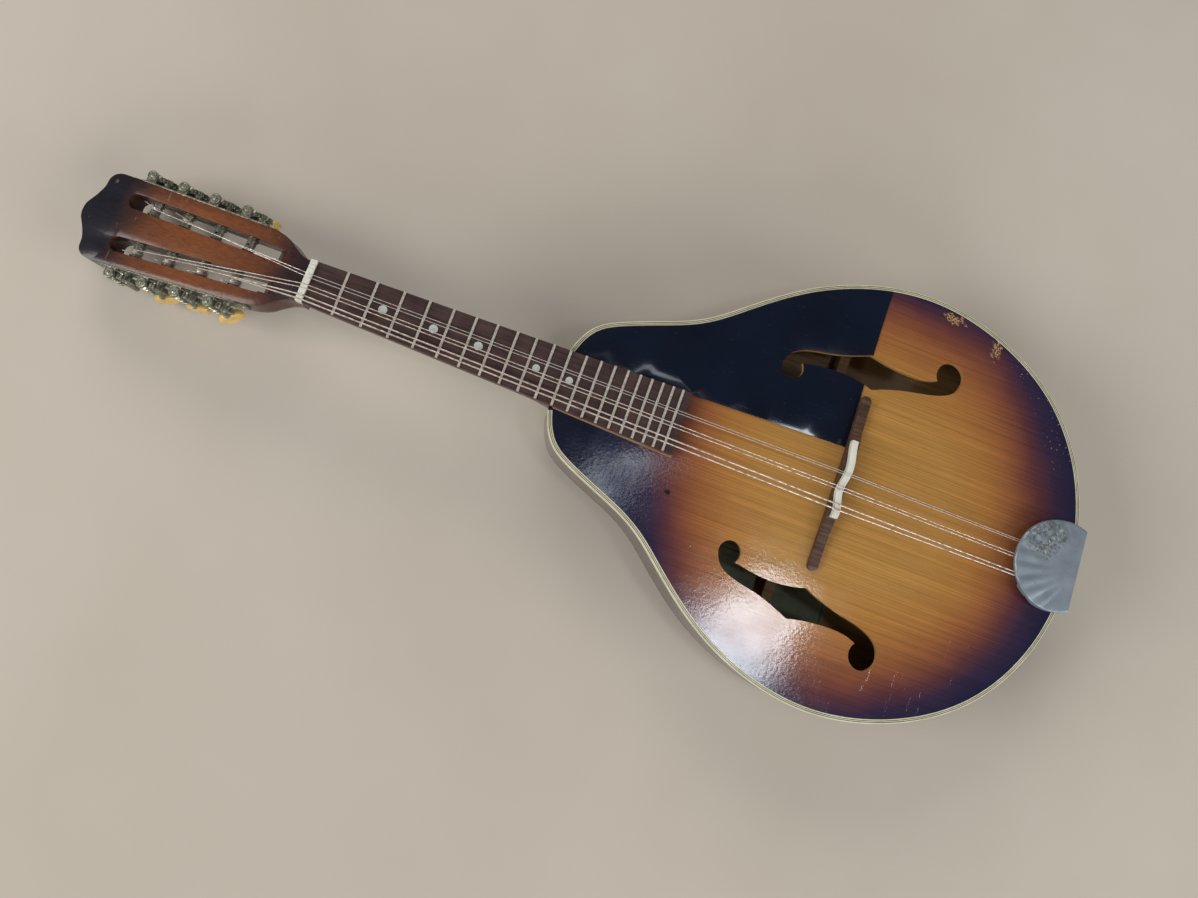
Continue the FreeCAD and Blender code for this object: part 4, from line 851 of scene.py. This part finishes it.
# Name, radius, y at the nut, saddle and hook, side of the headstock, tuner counted from the nut, wound
STRINGS = [
    ("a1", 0.19, 4.4, 7.0, 8.1, "treble", 4, False),
    ("a2", 0.19, 2.2, 5.6, 6.9, "treble", 3, False),
    ("d1", 0.33, -2.5, -2.7, -1.7, "bass", 4, True),
    ("d2", 0.33, -4.9, -4.7, -3.5, "bass", 3, True),
    ("g1", 0.5, -9.5, -13.9, -12.7, "bass", 2, True),
    ("g2", 0.5, -12.3, -17.3, -14.6, "bass", 1, True),
]
HOOK_X = 505.0
HOOK_Z = -2.6
SADDLE_X = 355.0
SADDLE_TOP_Z = 5.6
NUT_MIDDLE_X = -2.15
NOTCH_Z = 1.0
STRING_LIFT = 0.08
WRAP_GAP = 0.06
WRAP_TURNS = 3
WRAP_STEPS = 24             # in one turn
HOOK_LOOP_RADIUS = 1.9
HOOK_LOOP_STEPS = 16
STRING_END = (5.5, 3.2, 0.8)     # how far its free end runs to the tip, up and outwards
STRING_END_STEPS = 6
CORNER_CUT = 3.0
CORNER_STEPS = 6


def rounded(points, cut):
    """The path with each inner corner turned into a short curve."""
    path = [points[0]]
    for before, corner, after in zip(points, points[1:], points[2:]):
        start = corner + (before - corner).normalized() * min(cut, (before - corner).length * 0.4)
        end = corner + (after - corner).normalized() * min(cut, (after - corner).length * 0.4)
        for step in range(CORNER_STEPS + 1):
            share = step / CORNER_STEPS
            path.append(start.lerp(corner, share).lerp(corner.lerp(end, share), share))
    path.append(points[-1])
    return path


def wire(name, path, radius, finish, winding, replaced):
    """A round wire along a path. A winding pitch in millimetres gives it a ribbed surface."""
    if winding:
        path = resampled(path, winding / 2 * MM)
    tangents = []
    for k in range(len(path)):
        step = path[min(k + 1, len(path) - 1)] - path[max(k - 1, 0)]
        tangents.append(step.normalized())
    normal = tangents[0].orthogonal().normalized()
    vertices = []
    for k, (point, tangent) in enumerate(zip(path, tangents)):
        normal = (normal - tangent * normal.dot(tangent)).normalized()
        across = tangent.cross(normal)
        size = radius * (0.88 if winding and k % 2 else 1.0)
        for j in range(WIRE_SIDES):
            angle = 2 * math.pi * j / WIRE_SIDES
            vertices.append(point + (normal * math.cos(angle) + across * math.sin(angle)) * size * MM)
    faces = tube_faces(len(path), WIRE_SIDES)
    piece(name, vertices, faces, finish, "root", replaced)


def make_string(name, radius, nut_y, saddle_y, hook_y, side, number, wound):
    """A string from its loop on the hook, over saddle and nut, to the turns on its post."""
    centre, outward, normal, to_tip = post_frame(side, number)
    hook = at(HOOK_X, hook_y, HOOK_Z)
    coil_radius = (POST_RADIUS + radius + WRAP_GAP) * MM
    pitch = (2 * radius + WRAP_GAP) * MM
    loop = []
    loop_centre = hook + SLIDE * HOOK_LOOP_RADIUS * MM
    for step in range(HOOK_LOOP_STEPS + 1):
        angle = math.radians(200 + 320 * step / HOOK_LOOP_STEPS)
        ray = SLIDE * math.cos(angle) + ACROSS_TAIL * math.sin(angle)
        loop.append(loop_centre + ray * HOOK_LOOP_RADIUS * MM)
    saddle = at(SADDLE_X, saddle_y, SADDLE_TOP_Z + radius + STRING_LIFT)
    nut = at(NUT_MIDDLE_X, nut_y, NOTCH_Z + radius + STRING_LIFT)
    post_top = centre + normal * coil_radius
    path = loop + rounded([hook, saddle, nut, post_top], CORNER_CUT * MM)
    for step in range(1, WRAP_STEPS * WRAP_TURNS + 1):
        angle = 2 * math.pi * step / WRAP_STEPS
        ray = normal * math.cos(angle) + to_tip * math.sin(angle)
        path.append(centre + ray * coil_radius + outward * pitch * step / WRAP_STEPS)
    last = path[-1]
    run, lift, drift = STRING_END
    for step in range(1, STRING_END_STEPS + 1):
        share = step / STRING_END_STEPS
        path.append(last + (to_tip * run * share + normal * lift * share ** 2 + outward * drift * share) * MM)
    finish = wound_wire if wound else finishes["string_wire"]
    winding = 1.2 * radius if wound else 0.0
    wire("strung_" + name, path, radius, finish, winding, ["string_" + name])


# ---------------------------------------------------------------- fingerboard trim

SUPPORT_START_X = 166.0
SUPPORT_END_X = 247.5
BOARD_END_X = 246.0
BOARD_START_HALF_WIDTH = 13.8
BOARD_SPREAD = 7.0          # how much wider each half of the board is at its end
SUPPORT_TOP_Z = -4.3
SUPPORT_BOTTOM_Z = -7.2
SUPPORT_INSET = 0.5
SUPPORT_STATIONS = 24


def make_board_support():
    """Pale strip of wood that shows under the bass edge of the fingerboard, over the body."""
    vertices = []
    for k in range(SUPPORT_STATIONS + 1):
        share = k / SUPPORT_STATIONS
        x = SUPPORT_START_X + (SUPPORT_END_X - SUPPORT_START_X) * share
        edge = -(BOARD_START_HALF_WIDTH + BOARD_SPREAD * min(x, BOARD_END_X) / BOARD_END_X)
        proud = edge - 0.25 - share
        wobble = 0.08 * math.sin(9.0 * share) + 0.05 * math.sin(23.0 * share)
        inner = edge + SUPPORT_INSET
        outer = proud - 0.1
        section = [(inner, SUPPORT_TOP_Z - 1.1), (inner, SUPPORT_TOP_Z), (proud + wobble, SUPPORT_TOP_Z),
                   (outer, SUPPORT_TOP_Z - 0.3), (outer, SUPPORT_BOTTOM_Z), (inner, SUPPORT_BOTTOM_Z)]
        vertices += [at(x, y, z) for y, z in section]
    faces = tube_faces(SUPPORT_STATIONS + 1, len(section))
    piece("board_support", vertices, faces, support_wood, "root", bevel=0.1)


# ---------------------------------------------------------------- studio

FLOOR_HALF = 3.0            # metres


def make_floor():
    """A pale card floor with faint unevenness."""
    look = Finish("floor_card", {"Roughness": 0.9})
    cloud = look.noise(0.004, 4.0)
    colour = look.ramp(look.remap(cloud, 0.3, 0.7), (0.0, srgb(196, 186, 172)), (1.0, srgb(206, 197, 184)))
    look.set({"Base Color": colour, "Normal": look.bump((look.noise(0.6, 3.0), 0.02))})
    corners = [(FLOOR_HALF * x, FLOOR_HALF * y, 0) for x, y in ((-1, -1), (1, -1), (1, 1), (-1, 1))]
    mesh = bpy.data.meshes.new("floor")
    mesh.from_pydata(corners, [], [(0, 1, 2, 3)])
    mesh.materials.append(look.material)
    floor = bpy.data.objects.new("floor", mesh)
    bpy.context.scene.collection.objects.link(floor)


def area_light(name, place, target, width, length, watts, colour):
    """A rectangular lamp at a place, turned to its target."""
    data = bpy.data.lights.new(name, "AREA")
    data.shape = "RECTANGLE"
    data.size = width
    data.size_y = length
    data.energy = watts
    data.color = colour
    light = bpy.data.objects.new(name, data)
    light.location = place
    light.rotation_euler = (target - place).to_track_quat("-Z", "Y").to_euler()
    bpy.context.scene.collection.objects.link(light)


def make_lights():
    """Two small lamps overhead and four wide soft ones around the instrument."""
    middle = at(300, 0, 0)
    area_light("ceiling_lamp", at(880, -170, 2000), middle, 0.16, 0.26, 2.6, (0.84, 0.92, 1.0))
    area_light("far_lamp", at(360, 120, 2000), middle, 0.1, 0.16, 0.32, (0.84, 0.92, 1.0))
    area_light("soft_left", at(-1900, -900, 1300), middle, 1.4, 1.4, 40, (1.0, 0.98, 0.95))
    area_light("soft_front", at(1500, -2700, 1000), middle, 1.6, 1.6, 40, (0.97, 0.98, 1.0))
    area_light("soft_right", at(3000, -700, 1300), middle, 1.6, 1.6, 36, (1.0, 0.98, 0.94))
    area_light("soft_back", at(-900, 2600, 1500), middle, 1.6, 1.6, 34, (1.0, 0.98, 0.95))
    world = bpy.data.worlds.new("room")
    world.use_nodes = True
    world.node_tree.nodes["Background"].inputs[0].default_value = (0.82, 0.83, 0.86, 1)
    world.node_tree.nodes["Background"].inputs[1].default_value = 0.14
    bpy.context.scene.world = world


def make_camera():
    """A wide lens close above the instrument, looking almost straight down."""
    data = bpy.data.cameras.new("camera")
    data.lens = 27.00521
    data.sensor_width = 36.0
    data.sensor_fit = "HORIZONTAL"
    data.clip_start = 0.01
    camera = bpy.data.objects.new("camera", data)
    camera.location = at(166.54, -107.97, 553.35)
    camera.rotation_euler = Euler([math.radians(angle) for angle in (5.9066, -6.0698, 20.0706)])
    bpy.context.scene.collection.objects.link(camera)
    bpy.context.scene.camera = camera
    bpy.context.scene.view_settings.view_transform = "Standard"


# ---------------------------------------------------------------- the whole instrument

make_camera()
for slot, names in NODE_FINISHES.items():
    for node_name in names:
        dress(node_name, finishes[slot], BEVELS.get(node_name, 0.0))
dress("bridge_base", worn_rosewood, BEVELS["bridge_base"])
for side in SIDES:
    for number in range(1, 5):
        label = "%s_%d" % (side, number)
        dress("worm_shaft_" + label, finishes["plated_metal"])
        dress("string_post_" + label, finishes["plated_metal"])
        make_shaft_cap(side, number)
        make_post_flanges(side, number)
        if "tuner_knob_" + label in nodes:
            make_knob(side, number)
make_binding()
make_tail_cover()
for string in STRINGS:
    make_string(*string)
make_board_support()
make_floor()
make_lights()
